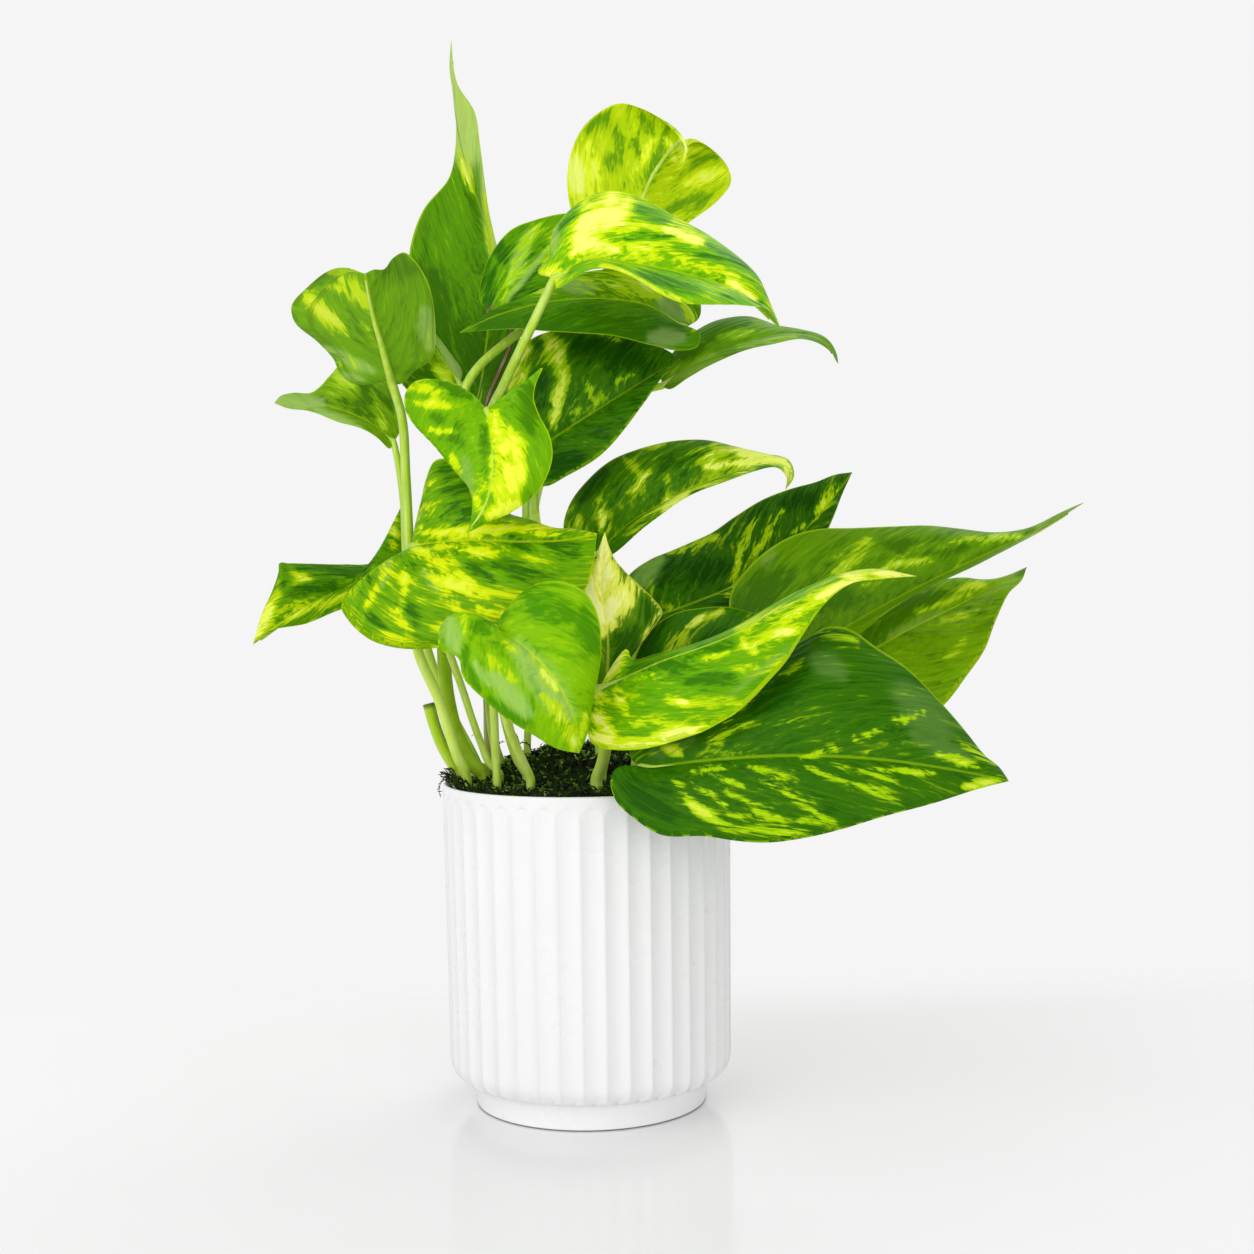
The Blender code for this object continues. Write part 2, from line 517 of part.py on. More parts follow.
def wall_profile():
    """Radius and height down the outside, and how much of the flute's depth is kept."""
    lean = (POT_RADIUS - POT_LOWER_RADIUS) / (POT_HEIGHT - SHOULDER_HEIGHT)
    band = POT_HEIGHT - RIM_BAND
    heights = (band, band - FLUTE_ARCH * 0.4, band - FLUTE_ARCH, SHOULDER_HEIGHT)
    outline = [(POT_RADIUS, POT_HEIGHT, 0)]
    outline += [(POT_RADIUS - lean * (POT_HEIGHT - z), z, 1) for z in heights]
    outline += [(POT_LOWER_RADIUS - 0.7, 16.5, 1), (POT_LOWER_RADIUS - 2.6, 13.6, 1),
                (POT_LOWER_RADIUS - 6.0, FOOT_HEIGHT + 0.3, 0.8), (FOOT_RADIUS, FOOT_HEIGHT, 0),
                (FOOT_BASE_RADIUS, 0, 0)]
    return outline


def spin_solid(name, outline, steps, dip=None):
    """A closed solid of revolution about the Z axis, with its wall hollowed by dip."""
    solid = bmesh.new()
    line = [solid.verts.new((radius * MM, 0, z * MM)) for radius, z, *_ in outline]
    chain = [solid.verts.new((0, 0, outline[0][1] * MM)), *line,
             solid.verts.new((0, 0, outline[-1][1] * MM))]
    edges = [solid.edges.new(pair) for pair in zip(chain, chain[1:])]
    bmesh.ops.spin(solid, geom=chain + edges, axis=(0, 0, 1), cent=(0, 0, 0),
                   angle=2 * math.pi, steps=steps, use_merge=True)
    bmesh.ops.remove_doubles(solid, verts=solid.verts, dist=1e-6)
    if dip:
        keep = {round(z, 3): share for _, z, share in outline}
        for vertex in solid.verts:
            radius = math.hypot(vertex.co.x, vertex.co.y)
            height = vertex.co.z / MM
            share = keep.get(round(height, 3), 0)
            if radius > MM and share:
                angle = math.atan2(vertex.co.y, vertex.co.x)
                inward = share * dip(angle, height) * MM / radius
                vertex.co.x *= 1 - inward
                vertex.co.y *= 1 - inward
    bmesh.ops.recalc_face_normals(solid, faces=solid.faces)
    mesh = bpy.data.meshes.new(name)
    solid.to_mesh(mesh)
    solid.free()
    return mesh


def add_pot(collection, helpers):
    material = make_material("pot", (0.86, 0.86, 0.85), 0.3)
    mesh = spin_solid("pot", wall_profile(), FLUTES * FLUTE_STEPS, flute_dip)
    mesh.transform(Matrix.Rotation(math.radians(FLUTE_TURN), 4, "Z"))
    pot = add_object("pot", mesh, collection, material)
    cavity = [(CAVITY_RADIUS, POT_HEIGHT + 5), (CAVITY_RADIUS, POT_HEIGHT - 4),
              (54.4, 24.0), (51.6, 15.0), (CAVITY_FLOOR_RADIUS, CAVITY_FLOOR)]
    cutter = add_cutter("cavity", spin_solid("cavity", cavity, 48), helpers)
    boolean(pot, cutter, "DIFFERENCE")
    return pot


def add_soil(collection, helpers):
    """The soil fills the cavity with a small gap and has one plain hole for every foot."""
    material = make_material("soil", (0.03, 0.035, 0.015), 0.9)
    gap = SOIL_GAP + 0.1
    outline = [(18.0, SOIL_TOP + SOIL_DOME), (40.0, SOIL_TOP + SOIL_DOME * 0.6),
               (CAVITY_RADIUS - gap, SOIL_TOP), (54.4 - gap, 24.0), (51.6 - gap, 15.2),
               (CAVITY_FLOOR_RADIUS - gap, CAVITY_FLOOR + SOIL_GAP)]
    soil = add_object("soil", spin_solid("soil", outline, 48), collection, material)
    feet = [(leaf["foot"], leaf["stalk_radius"][0]) for leaf in LEAVES.values()]
    feet.append((STUB_FOOT, STUB_RADIUS[0]))
    holes = bmesh.new()
    for (x, y), radius in feet:
        width = (radius + HOLE_CLEARANCE) / math.cos(math.pi / 8) * MM
        made = bmesh.ops.create_cone(holes, cap_ends=True, segments=8, depth=40 * MM,
                                     radius1=width, radius2=width)
        centre = Vector((x, y, HOLE_FLOOR + 20)) * MM
        bmesh.ops.translate(holes, verts=made["verts"], vec=centre)
    mesh = bpy.data.meshes.new("stalk_holes")
    holes.to_mesh(mesh)
    holes.free()
    boolean(soil, add_cutter("stalk_holes", mesh, helpers), "DIFFERENCE")
    return soil


def add_stub(collection):
    """A short cut-off stem beside the left stalks."""
    material = make_material("stem_stub", (0.30, 0.42, 0.06), 0.5)
    path = [np.array([*STUB_FOOT, STALK_FOOT]), np.array([*STUB_FOOT, FOOT_TOP])]
    path += [place(*point) for point in STUB_STALK]
    radii = np.linspace(*STUB_RADIUS, len(path))
    return add_object("stem_stub", tube_mesh("stem_stub", path, radii), collection, material)


def main():
    for item in list(bpy.data.objects):
        bpy.data.objects.remove(item)
    plant = make_collection("potted_golden_pothos")
    helpers = make_collection("cutters", hidden=True)
    add_pot(plant, helpers)
    add_soil(plant, helpers)
    for name, leaf in LEAVES.items():
        add_leaf(name, leaf, plant, helpers)
    add_stub(plant)


main()
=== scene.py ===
import math
import random

import bmesh
import bpy
import numpy as np
from mathutils import Matrix, Vector
from mathutils.noise import fractal


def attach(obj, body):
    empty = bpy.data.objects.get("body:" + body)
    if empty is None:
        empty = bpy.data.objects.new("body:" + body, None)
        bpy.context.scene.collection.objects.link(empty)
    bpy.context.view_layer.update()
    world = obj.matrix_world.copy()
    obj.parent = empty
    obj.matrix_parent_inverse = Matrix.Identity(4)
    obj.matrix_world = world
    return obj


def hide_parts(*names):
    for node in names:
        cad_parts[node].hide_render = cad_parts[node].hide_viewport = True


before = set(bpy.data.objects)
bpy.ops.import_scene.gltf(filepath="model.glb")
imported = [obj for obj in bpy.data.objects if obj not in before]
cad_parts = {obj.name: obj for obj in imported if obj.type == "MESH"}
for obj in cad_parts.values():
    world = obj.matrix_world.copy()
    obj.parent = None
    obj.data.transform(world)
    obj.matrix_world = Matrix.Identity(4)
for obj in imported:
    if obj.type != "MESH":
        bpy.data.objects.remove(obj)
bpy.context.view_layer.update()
mm = 0.001
weld = 1e-6  # corners closer than this are joined
print("frame loaded:", len(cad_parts), "nodes")


# small helpers for objects and shader trees

def addObject(name, data):
    item = bpy.data.objects.new(name, data)
    bpy.context.scene.collection.objects.link(item)
    return item


def meshObject(name, piece, materials):
    mesh = bpy.data.meshes.new(name)
    piece.to_mesh(mesh)
    piece.free()
    for material in materials:
        mesh.materials.append(material)
    return addObject(name, mesh)


def addNode(tree, kind, **settings):
    made = tree.nodes.new(kind)
    for key, value in settings.items():
        setattr(made, key, value)
    return made


def feed(tree, socket, value):
    if isinstance(value, bpy.types.NodeSocket):
        tree.links.new(value, socket)
    else:
        socket.default_value = value


def calc(tree, operation, *values):
    made = addNode(tree, "ShaderNodeMath", operation=operation)
    for socket, value in zip(made.inputs, values):
        feed(tree, socket, value)
    return made.outputs[0]


def softStep(tree, value, low, high, start=0.0, end=1.0):
    made = addNode(tree, "ShaderNodeMapRange", interpolation_type="SMOOTHSTEP")
    for label, given in (("Value", value), ("From Min", low), ("From Max", high),
                         ("To Min", start), ("To Max", end)):
        feed(tree, made.inputs[label], given)
    return made.outputs["Result"]


def blendColour(tree, share, first, second):
    made = addNode(tree, "ShaderNodeMix", data_type="RGBA")
    feed(tree, made.inputs[0], share)
    feed(tree, made.inputs[6], first)
    feed(tree, made.inputs[7], second)
    return made.outputs[2]


# Lays dye over colour: its share goes from start to end while value goes from low to high
def tint(tree, colour, dye, value, low, high, start=0.0, end=1.0):
    return blendColour(tree, softStep(tree, value, low, high, start, end), colour, dye)


def noise(tree, vector, scale, detail=3.0, roughness=0.55):
    made = addNode(tree, "ShaderNodeTexNoise")
    for label, given in (("Vector", vector), ("Scale", scale), ("Detail", detail), ("Roughness", roughness)):
        feed(tree, made.inputs[label], given)
    return made.outputs["Fac"]


def joinVector(tree, *values):
    made = addNode(tree, "ShaderNodeCombineXYZ")
    for socket, value in zip(made.inputs, values):
        feed(tree, socket, value)
    return made.outputs[0]


def splitVector(tree, vector, kind="ShaderNodeSeparateXYZ"):
    made = addNode(tree, kind)
    feed(tree, made.inputs[0], vector)
    return made.outputs


def objectPlace(tree):
    return addNode(tree, "ShaderNodeTexCoord").outputs["Object"]


def attribute(tree, name):
    return addNode(tree, "ShaderNodeAttribute", attribute_name=name).outputs


def newMaterial(name, roughness=0.5, specular=0.5):
    material = bpy.data.materials.new(name)
    material.use_nodes = True
    tree = material.node_tree
    shader = tree.nodes["Principled BSDF"].inputs
    shader["Roughness"].default_value = roughness
    shader["Specular IOR Level"].default_value = specular
    return material, tree, shader


# inputs and outputs say the kind of each named socket
def newGroup(name, inputs, outputs):
    tree = bpy.data.node_groups.new(name, "ShaderNodeTree")
    for way, sockets in (("INPUT", inputs), ("OUTPUT", outputs)):
        for label, kind in sockets.items():
            tree.interface.new_socket(label, in_out=way, socket_type="NodeSocket" + kind)
    return tree, tree.nodes.new("NodeGroupInput").outputs, tree.nodes.new("NodeGroupOutput").inputs


def placeGroup(tree, group, **values):
    made = addNode(tree, "ShaderNodeGroup", node_tree=group)
    for label, value in values.items():
        feed(tree, made.inputs[label], value)
    return made.outputs


def addBump(tree, shader, height, strength, distance, invert=False):
    bump = addNode(tree, "ShaderNodeBump", invert=invert)
    bump.inputs["Strength"].default_value = strength
    bump.inputs["Distance"].default_value = distance
    feed(tree, bump.inputs["Height"], height)
    feed(tree, shader["Normal"], bump.outputs[0])


def paint(red, green, blue):  # a colour as it shows on screen, 0 to 255
    parts = (value / 255 for value in (red, green, blue))
    return (*(p / 12.92 if p <= 0.04045 else ((p + 0.055) / 1.055) ** 2.4 for p in parts), 1.0)


def dyes(look, *names):
    return [paint(*look[name]) for name in names]


# Camera: the eye in mm, turns in degrees, focal length and width in pixels, sensor in mm
view = dict(eye=(0, -748, 220), yaw=1.37, pitch=-1.71, roll=0.9, focal=1789, width=1254, sensor=36)
eyeAway, eyeHeight = -view["eye"][1], view["eye"][2]


def addCamera():
    yaw, pitch, roll = (math.radians(view[key]) for key in ("yaw", "pitch", "roll"))
    ahead = Vector((math.sin(yaw) * math.cos(pitch), math.cos(yaw) * math.cos(pitch), math.sin(pitch)))
    right = ahead.cross(Vector((0, 0, 1))).normalized()
    up = right.cross(ahead)
    sideways = math.cos(roll) * right - math.sin(roll) * up
    upwards = math.sin(roll) * right + math.cos(roll) * up
    data = bpy.data.cameras.new("camera")
    data.sensor_width = view["sensor"]
    data.lens = view["sensor"] * view["focal"] / view["width"]
    camera = addObject("camera", data)
    turn = Matrix((sideways, upwards, -ahead)).transposed()
    camera.matrix_world = Matrix.Translation(Vector(view["eye"]) * mm) @ turn.to_4x4()
    bpy.context.scene.camera = camera


addCamera()

# The floor fades out behind the pot, where the backdrop takes over
floor = dict(size=6.0, fadeStart=0.125, fadeEnd=0.225, colour=(235, 235, 235), roughness=0.12,
             specular=0.35)


def addFloor():
    material, tree, shader = newMaterial("tableTop", floor["roughness"], floor["specular"])
    shader["Base Color"].default_value = paint(*floor["colour"])
    place = splitVector(tree, objectPlace(tree))
    clear = addNode(tree, "ShaderNodeBsdfTransparent")
    fade = addNode(tree, "ShaderNodeMixShader")
    feed(tree, fade.inputs[0], softStep(tree, place[1], floor["fadeStart"], floor["fadeEnd"], 1.0, 0.0))
    feed(tree, fade.inputs[1], clear.outputs[0])
    feed(tree, fade.inputs[2], tree.nodes["Principled BSDF"].outputs[0])
    feed(tree, tree.nodes["Material Output"].inputs["Surface"], fade.outputs[0])
    sheet = bmesh.new()
    bmesh.ops.create_grid(sheet, x_segments=2, y_segments=2, size=floor["size"] / 2)
    item = meshObject("floor", sheet, [material])


addFloor()

# Brightness of the surroundings as the camera sees it, as it lights, and as surfaces mirror it in
# front and at the back. It changes between the two headings in turn.
studio = dict(backdrop=0.913, ambient=0.82, mirroredFront=0.4, mirroredBack=1.02, turn=(0.3, 0.8))
lamps = {
    "keyLeft": dict(place=(-1.15, -1.25, 1.0), aim=(0, 0, 0.2), size=2.0, power=13.2),
    "fillFront": dict(place=(0.35, -1.6, 0.3), aim=(0, 0, 0.12), size=1.2, power=6),
    "topBack": dict(place=(0.5, 0.9, 1.6), aim=(0, 0, 0.25), size=1.0, power=5),
}


def addStudio():
    world = bpy.data.worlds.new("studio")
    bpy.context.scene.world = world
    world.use_nodes = True
    tree = world.node_tree
    rays = addNode(tree, "ShaderNodeLightPath").outputs
    heading = splitVector(tree, addNode(tree, "ShaderNodeTexCoord").outputs["Generated"])[1]
    mirrored = softStep(tree, heading, *studio["turn"], studio["mirroredFront"], studio["mirroredBack"])
    level = studio["ambient"]
    for ray, seen in (("Is Glossy Ray", calc(tree, "SUBTRACT", mirrored, studio["ambient"])),
                      ("Is Camera Ray", studio["backdrop"] - studio["ambient"])):
        level = calc(tree, "ADD", level, calc(tree, "MULTIPLY", rays[ray], seen))
    background = tree.nodes["Background"].inputs
    background["Color"].default_value = (1, 1, 1, 1)
    feed(tree, background["Strength"], level)
    for name, lamp in lamps.items():
        data = bpy.data.lights.new(name, "AREA")
        data.shape = "DISK"
        data.size = lamp["size"]
        data.energy = lamp["power"]
        item = addObject(name, data)
        item.location = lamp["place"]
        aim = Vector(lamp["aim"]) - Vector(lamp["place"])
        item.rotation_euler = aim.to_track_quat("-Z", "Y").to_euler()
    bpy.context.scene.view_settings.view_transform = "Standard"


addStudio()
print("camera, floor and light ready")

# Every leaf is drawn on the upright plane through the pot's axis, in mm, as the camera sees it.
# The third number of a rib or stalk point is its depth behind that plane. left and right are the
# blade's margins from base to tip with the upper face up, lean is how far each margin stands
# behind the rib and arch how high each half bows. marks are strokes painted on the same plane, by
# kind: from x, z, to x, z, and half width. The pale strokes are painted sheen as well as paler
# parts of the leaf, and the deep strokes are painted shade, where leaves overlap and fold, as well
# as dark green patches. streaks is how much of a leaf is flecked, sweep how far its veins lean
# forward and seed what the flecks are drawn from. The outlines repeat the frame's own leaves.
# colours are each leaf's own tones, tuned one leaf at a time, and they carry painted shade too: leaves that
# lie in shade among the others are given darker greens.
leaves = {}
leaves["leaf_01_tall_left"] = dict(
    rib=[(-42.5, 291, 50), (-37, 330, 46), (-36, 356, 42), (-42, 378, 38), (-48, 398, 35), (-51, 422, 32),
        (-51, 442, 30)],
    left=[(-48, 288), (-55, 294), (-59.5, 306), (-64, 320), (-68, 334), (-70, 346), (-69.5, 357), (-64, 372),
        (-53, 385), (-50, 396), (-49.5, 412), (-52, 430)],
    right=[(-37, 288), (-29.5, 293), (-25, 303), (-24, 315), (-27.5, 331), (-32.5, 350), (-36, 368),
        (-38, 385), (-40, 400), (-42, 412), (-49, 424)],
    lean=(10, -14), arch=(-2, 1), foot=(-43, 3), stalkRadius=(3.3, 2.2), streaks=0.1, sweep=1.1, seed=1.0,
    stalk=[(-47.5, 141, 2), (-53, 151, 3), (-57, 166, 4), (-58.8, 188, 8), (-54, 250, 33), (-47.5, 276, 46)],
    colours=dict(green=(86, 145, 0), deep_and_shade=(54, 106, 0), lime=(181, 210, 20), cream=(216, 232, 90),
        pale_sheen=(204, 230, 120)),
    marks=dict(cream=[(-47, 392, -45, 384, 1.4)],
        lime=[(-48, 396, -44, 380, 2), (-38, 378, -36, 352, 1.2)],
        pale_sheen=[(-50, 442, -45, 396, 12), (-38, 398, -35, 352, 3)],
        deep_and_shade=[(-62, 344, -56, 315, 8), (-48, 322, -34, 300, 12), (-66, 350, -62, 330, 5)]))
leaves["leaf_02_left_heart"] = dict(
    rib=[(-78.5, 302, -17), (-82, 316, -26), (-86, 331, -37), (-88.5, 346, -47)],
    left=[(-75.5, 300), (-72.5, 301.5), (-69.5, 305), (-65, 307.8), (-61.5, 310.5), (-59.7, 316),
        (-59.5, 322), (-60.5, 333), (-63, 343), (-67.5, 351), (-72, 354.5), (-77, 352), (-80.5, 347.8),
        (-85, 347.6)],
    right=[(-83, 301.5), (-88, 300), (-95, 301), (-100, 306), (-102, 311), (-108, 317.5), (-118, 326),
        (-119, 333), (-112, 341), (-103, 347.5), (-97, 348.5)],
    lean=(8, 6), arch=(-2, -2), foot=(-50, -6), stalkRadius=(2.3, 1.9), underRib=1.5, streaks=0.12,
        sweep=0.9, seed=2.0,
    stalk=[(-54, 145, -8), (-61, 168, -7), (-70, 191, -5), (-72, 225, -6), (-73.2, 262, -7),
        (-74.3, 286, -11)],
    colours=dict(green=(105, 161, 0), deep_and_shade=(75, 125, 0), lime=(186, 216, 4), cream=(206, 222, 60),
        pale_sheen=(150, 188, 96)),
    marks=dict(cream=[(-108, 332, -98, 325, 1.4)],
        lime=[(-112, 336, -96, 322, 3), (-98, 345, -88, 333, 3), (-104, 341, -96, 339, 1.6),
            (-90, 326, -84, 316, 1.4)],
        pale_sheen=[(-64, 330, -62, 316, 4), (-98, 311, -86, 306, 2.4), (-100, 305, -90, 302, 1.4),
            (-106, 316, -96, 312, 1.6)],
        deep_and_shade=[(-112, 345, -101, 347, 3), (-80, 349, -70, 348, 5)]))
leaves["leaf_03_left_low"] = dict(
    rib=[(-78, 276.5, 8), (-88, 284.5, 12), (-104, 291, 20), (-127, 293, 32)],
    left=[(-79.5, 273.5), (-84, 277.5), (-88, 280), (-95, 283.2), (-104, 286.3), (-114, 289.5), (-122, 291)],
    right=[(-76, 279), (-75, 288), (-78, 300), (-88, 309), (-98, 309), (-104, 303.5), (-108, 299.5),
        (-112, 297.2), (-119, 297.3), (-124.5, 295.8)],
    lean=(-8, 12), arch=(1, -2), foot=(-46, 15), stalkRadius=(2.2, 1.4), streaks=0.2, sweep=1.4, seed=3.0,
    stalk=[(-58, 167, 17), (-67, 195, 14), (-73.5, 226, 5), (-74.3, 250, 4), (-76, 266, 4)],
    colours=dict(green=(114, 161, 6), deep_and_shade=(66, 114, 0), lime=(166, 206, 30), pale_sheen=(158, 190, 100)),
    marks=dict(lime=[(-102, 306, -94, 298, 2.4), (-86, 298, -82, 282, 2)],
        pale_sheen=[(-127, 294, -108, 293, 4), (-110, 290, -92, 282, 2), (-104, 305, -96, 309, 2)],
        deep_and_shade=[(-98, 293, -86, 287, 3), (-90, 300, -80, 292, 4)]))
leaves["leaf_04_front_heart"] = dict(
    rib=[(-39, 289, -40), (-37, 272, -50), (-39, 254, -52), (-48, 238, -50)],
    left=[(-30, 296), (-22, 301), (-15.5, 306.5), (-18.5, 300), (-19.5, 294), (-17, 286), (-13.5, 279),
        (-12, 270), (-15, 260), (-20, 253), (-30, 246), (-40, 242)],
    right=[(-45, 296), (-52, 300), (-62, 302), (-69.5, 300.5), (-72.8, 296), (-73, 290), (-69.5, 283.5),
        (-61, 274), (-53, 264), (-47, 256), (-46, 247)],
    lean=(3, 6), arch=(2, -3), foot=(-37, -11), stalkRadius=(1.8, 1.6), streaks=0.1, sweep=0.9, seed=4.0,
    stalk=[(-38, 145, -10), (-38.4, 165, -8), (-40.2, 200, -2), (-42, 245, 1), (-42, 275, -14)],
    colours=dict(green=(110, 174, 2), deep_and_shade=(69, 129, 0), lime=(199, 227, 4), cream=(234, 248, 60),
        pale_sheen=(140, 180, 80)),
    marks=dict(cream=[(-36, 287, -32, 272, 3.2), (-30, 279, -25, 270, 3.6), (-27, 272, -26, 261, 3.4),
            (-31, 266, -29, 256, 2), (-38, 245, -27, 249, 3)],
        lime=[(-33, 270, -32, 250, 7), (-25, 264, -26, 254, 3.4), (-71, 299, -56, 297, 1.8),
            (-68, 292, -55, 291, 1.6), (-62, 281, -52, 280, 1.6), (-54, 270, -50, 262, 1.6),
            (-44, 252, -42, 246, 2)],
        pale_sheen=[(-48, 268, -48, 250, 3)],
        deep_and_shade=[(-58, 300, -46, 294, 2), (-40, 282, -40, 262, 2), (-22, 296, -22, 280, 4),
            (-60, 286, -50, 276, 4)]))
leaves["leaf_05_top_round"] = dict(
    rib=[(20, 352, 35), (25, 370, 33), (32, 386, 30), (42, 398, 22), (45, 396, 12), (43, 387, 6)],
    left=[(8, 352), (-1, 366), (-4, 380), (-3, 392), (2, 404), (9, 411), (18, 415), (28, 412.5), (36, 408),
        (42, 402), (45, 397)],
    right=[(34, 356), (47, 366), (58, 374), (64, 382), (63, 388), (57, 395), (50, 398.5), (46, 397)],
    lean=(0, 2), arch=(-3, -3), foot=(-36, 17), stalkRadius=(2, 1.9), streaks=0.3, sweep=0.8, seed=5.0,
    stalk=[(-38.4, 150, 17), (-41, 175, 18), (-50, 220, 18), (-52, 265, 10), (-47, 300, 3), (-25, 321, 14),
        (0, 337, 32)],
    colours=dict(green=(173, 206, 0), deep_and_shade=(99, 152, 0), lime=(219, 238, 40), cream=(232, 244, 110)),
    marks=dict(cream=[(-1, 392, 1, 380, 2.6), (44, 400, 44, 392, 2), (38, 400, 41, 391, 1)],
        lime=[(-2, 396, 2, 370, 5), (4, 400, 10, 376, 2), (62, 386, 46, 382, 3), (52, 396, 44, 396, 2),
            (32, 400, 24, 386, 2)],
        deep_and_shade=[(4, 405, 12, 410, 2.6), (13, 411, 18, 396, 3), (14, 394, 15, 388, 3), (28, 409, 32, 402, 2),
            (24, 400, 26, 392, 1.4), (36, 396, 28, 381, 3), (58, 392, 44, 393, 3), (54, 376, 38, 370, 2.4)]))
leaves["leaf_06_top_bright"] = dict(
    rib=[(-10, 343, -24), (4, 350.5, -32), (22, 349, -40), (45, 344, -45), (68, 336, -45), (84, 321, -40)],
    left=[(-17, 345.5), (-12.5, 352), (-11, 360), (-7, 367), (0, 374), (10, 379), (20, 378.5), (30, 374),
        (42, 367), (55, 360), (68, 350.5), (75, 343), (80, 331)],
    right=[(-9, 339), (-3, 342), (3, 346), (12, 347), (22, 343), (32, 337), (42, 333), (55, 331.5),
        (70, 330.5), (79, 329)],
    lean=(22, -22), arch=(4, 2), foot=(-25, 0), stalkRadius=(2.2, 1.9), streaks=0.4, sweep=1.7, seed=6.0,
    stalk=[(-27.8, 141, 1), (-32.4, 155, 4), (-36.5, 180, 9), (-39, 205, 13), (-40.5, 245, 16),
        (-41, 278, 6), (-31, 301, -14), (-19, 325, -24)],
    colours=dict(green=(110, 180, 0), deep_and_shade=(58, 126, 0), lime=(204, 230, 4), cream=(246, 252, 112),
        pale_sheen=(150, 188, 90)),
    marks=dict(cream=[(15, 376, 5, 361, 4.8), (21, 374, 13, 366, 3.2), (5, 366, 1, 356, 3),
            (36, 363, 52, 357, 1.3), (62, 342, 74, 333, 1)],
        lime=[(4, 372, -2, 354, 4), (14, 364, 24, 364, 3), (-2, 356, 16, 354, 3), (24, 366, 52, 358, 2.4),
            (22, 356, 46, 352, 2.6), (52, 346, 72, 334, 1.6), (44, 350, 66, 343, 1.6),
            (10, 348, 42, 333, 1.6), (-17, 344, -6, 346, 3), (40, 366, 48, 363, 1.4)],
        pale_sheen=[(-10, 354, -9, 364, 2)],
        deep_and_shade=[(26, 371, 36, 366, 2.6), (20, 359, 46, 361, 1.6), (52, 357, 70, 347, 1.6),
            (26, 344, 50, 337, 3), (-7, 362, 0, 372, 3), (60, 335, 76, 332, 2), (40, 356, 60, 350, 1.3)]))
leaves["leaf_07_top_behind"] = dict(
    rib=[(-38, 329, 19), (-30, 341, 20), (-14, 352, 22), (8, 360, 24), (24, 362, 25)],
    left=[(-41, 334), (-40, 344), (-36, 354), (-28, 363), (-18, 367), (-6, 370), (8, 370), (18, 367)],
    right=[(-34, 327.5), (-26, 331), (-16, 336), (-4, 342), (8, 350), (18, 357)],
    lean=(6, -3), arch=(-2, 2), foot=(-41, 24), stalkRadius=(1.3, 1.1), streaks=0.15, sweep=1.7, seed=7.0,
    stalk=[(-41.4, 150, 24), (-41.5, 166, 26), (-42.6, 200, 28), (-44, 245, 29), (-42.5, 275, 28),
        (-39.5, 291, 24), (-33.5, 305, 21), (-28.5, 317, 19), (-29, 323.5, 19), (-33, 327.5, 18.7)],
    colours=dict(green=(94, 157, 0), deep_and_shade=(43, 104, 0), lime=(163, 210, 4), pale_sheen=(170, 206, 96)),
    marks=dict(lime=[(-18, 364, -32, 334, 3), (-8, 362, -14, 350, 3)],
        pale_sheen=[(-20, 362, -28, 342, 3), (-12, 356, -30, 334, 1.4)],
        deep_and_shade=[(-39, 352, -38, 334, 4), (-14, 352, -28, 334, 2), (-34, 358, -30, 350, 3)]))
leaves["leaf_08_under_bright"] = dict(
    rib=[(44, 322, 15), (30, 331, 8), (12, 334.5, 3), (-12, 333.5, 1), (-34, 328, 1), (-50, 321, 1)],
    left=[(50, 320), (49, 314), (40, 312.5), (30, 315), (15, 319), (0, 320), (-12, 321), (-25, 322.5),
        (-38, 322)],
    right=[(50, 326), (50, 334), (40, 341), (25, 345), (8, 346), (-8, 342), (-22, 336), (-38, 329)],
    lean=(-9, 12), arch=(2, 2), foot=(-13, 28), stalkRadius=(2.4, 1.7), streaks=0.12, sweep=1.6, seed=8.0,
    stalk=[(-17, 190, 38), (-20.5, 245, 50), (-12, 270, 52), (15, 295, 54), (34, 316, 50), (43, 328, 33)],
    colours=dict(green=(82, 141, 0), deep_and_shade=(52, 108, 0), lime=(169, 206, 4), pale_sheen=(146, 176, 96)),
    marks=dict(lime=[(2, 342, 34, 338, 5), (44, 332, 48, 322, 3), (-50, 325, -44, 328, 2),
            (-26, 336, -8, 340, 1.3)],
        pale_sheen=[(-6, 341, 6, 339, 4), (34, 334, 44, 326, 4), (30, 318, 42, 318, 4)],
        deep_and_shade=[(-40, 324, 40, 320, 6)]))
leaves["leaf_09_dark_middle"] = dict(
    rib=[(-22, 270, 20), (-5, 281, 17), (18, 295, 17), (42, 309, 20)],
    left=[(-30, 280), (-33, 294), (-29, 308), (-20, 318), (-5, 322), (10, 321), (25, 317), (36, 313)],
    right=[(-22, 262), (-16, 257), (-6, 261), (6, 268), (17, 279), (26, 290), (33, 300), (38, 306)],
    lean=(10, -10), arch=(2, 2), foot=(-25, 18), stalkRadius=(1.6, 1.6), streaks=0.26, sweep=0.9, seed=9.0,
    stalk=[(-24.6, 150, 18), (-23, 170, 20), (-23, 220, 24), (-23.5, 250, 24)],
    colours=dict(green=(57, 114, 0), deep_and_shade=(25, 77, 0), lime=(150, 194, 0), cream=(214, 228, 80)),
    marks=dict(cream=[(-30, 299, -26, 306, 4), (-28, 304, -22, 314, 2), (-13, 318, -8, 308, 4),
            (-9, 312, -6, 300, 2.4), (-6, 302, -10, 290, 1.6), (-10, 290, -12, 284, 1.4)],
        lime=[(-26, 310, -22, 318, 3), (-9, 296, -11, 283, 3), (-2, 292, -4, 286, 2), (2, 300, 6, 292, 1.6),
            (14, 300, 22, 303, 1.1), (8, 320, 17, 317, 1.1)],
        deep_and_shade=[(-15, 304, -17, 290, 3.4), (0, 316, 28, 306, 7), (-16, 264, 0, 268, 4),
            (-18, 322, -16, 314, 2.4)]))
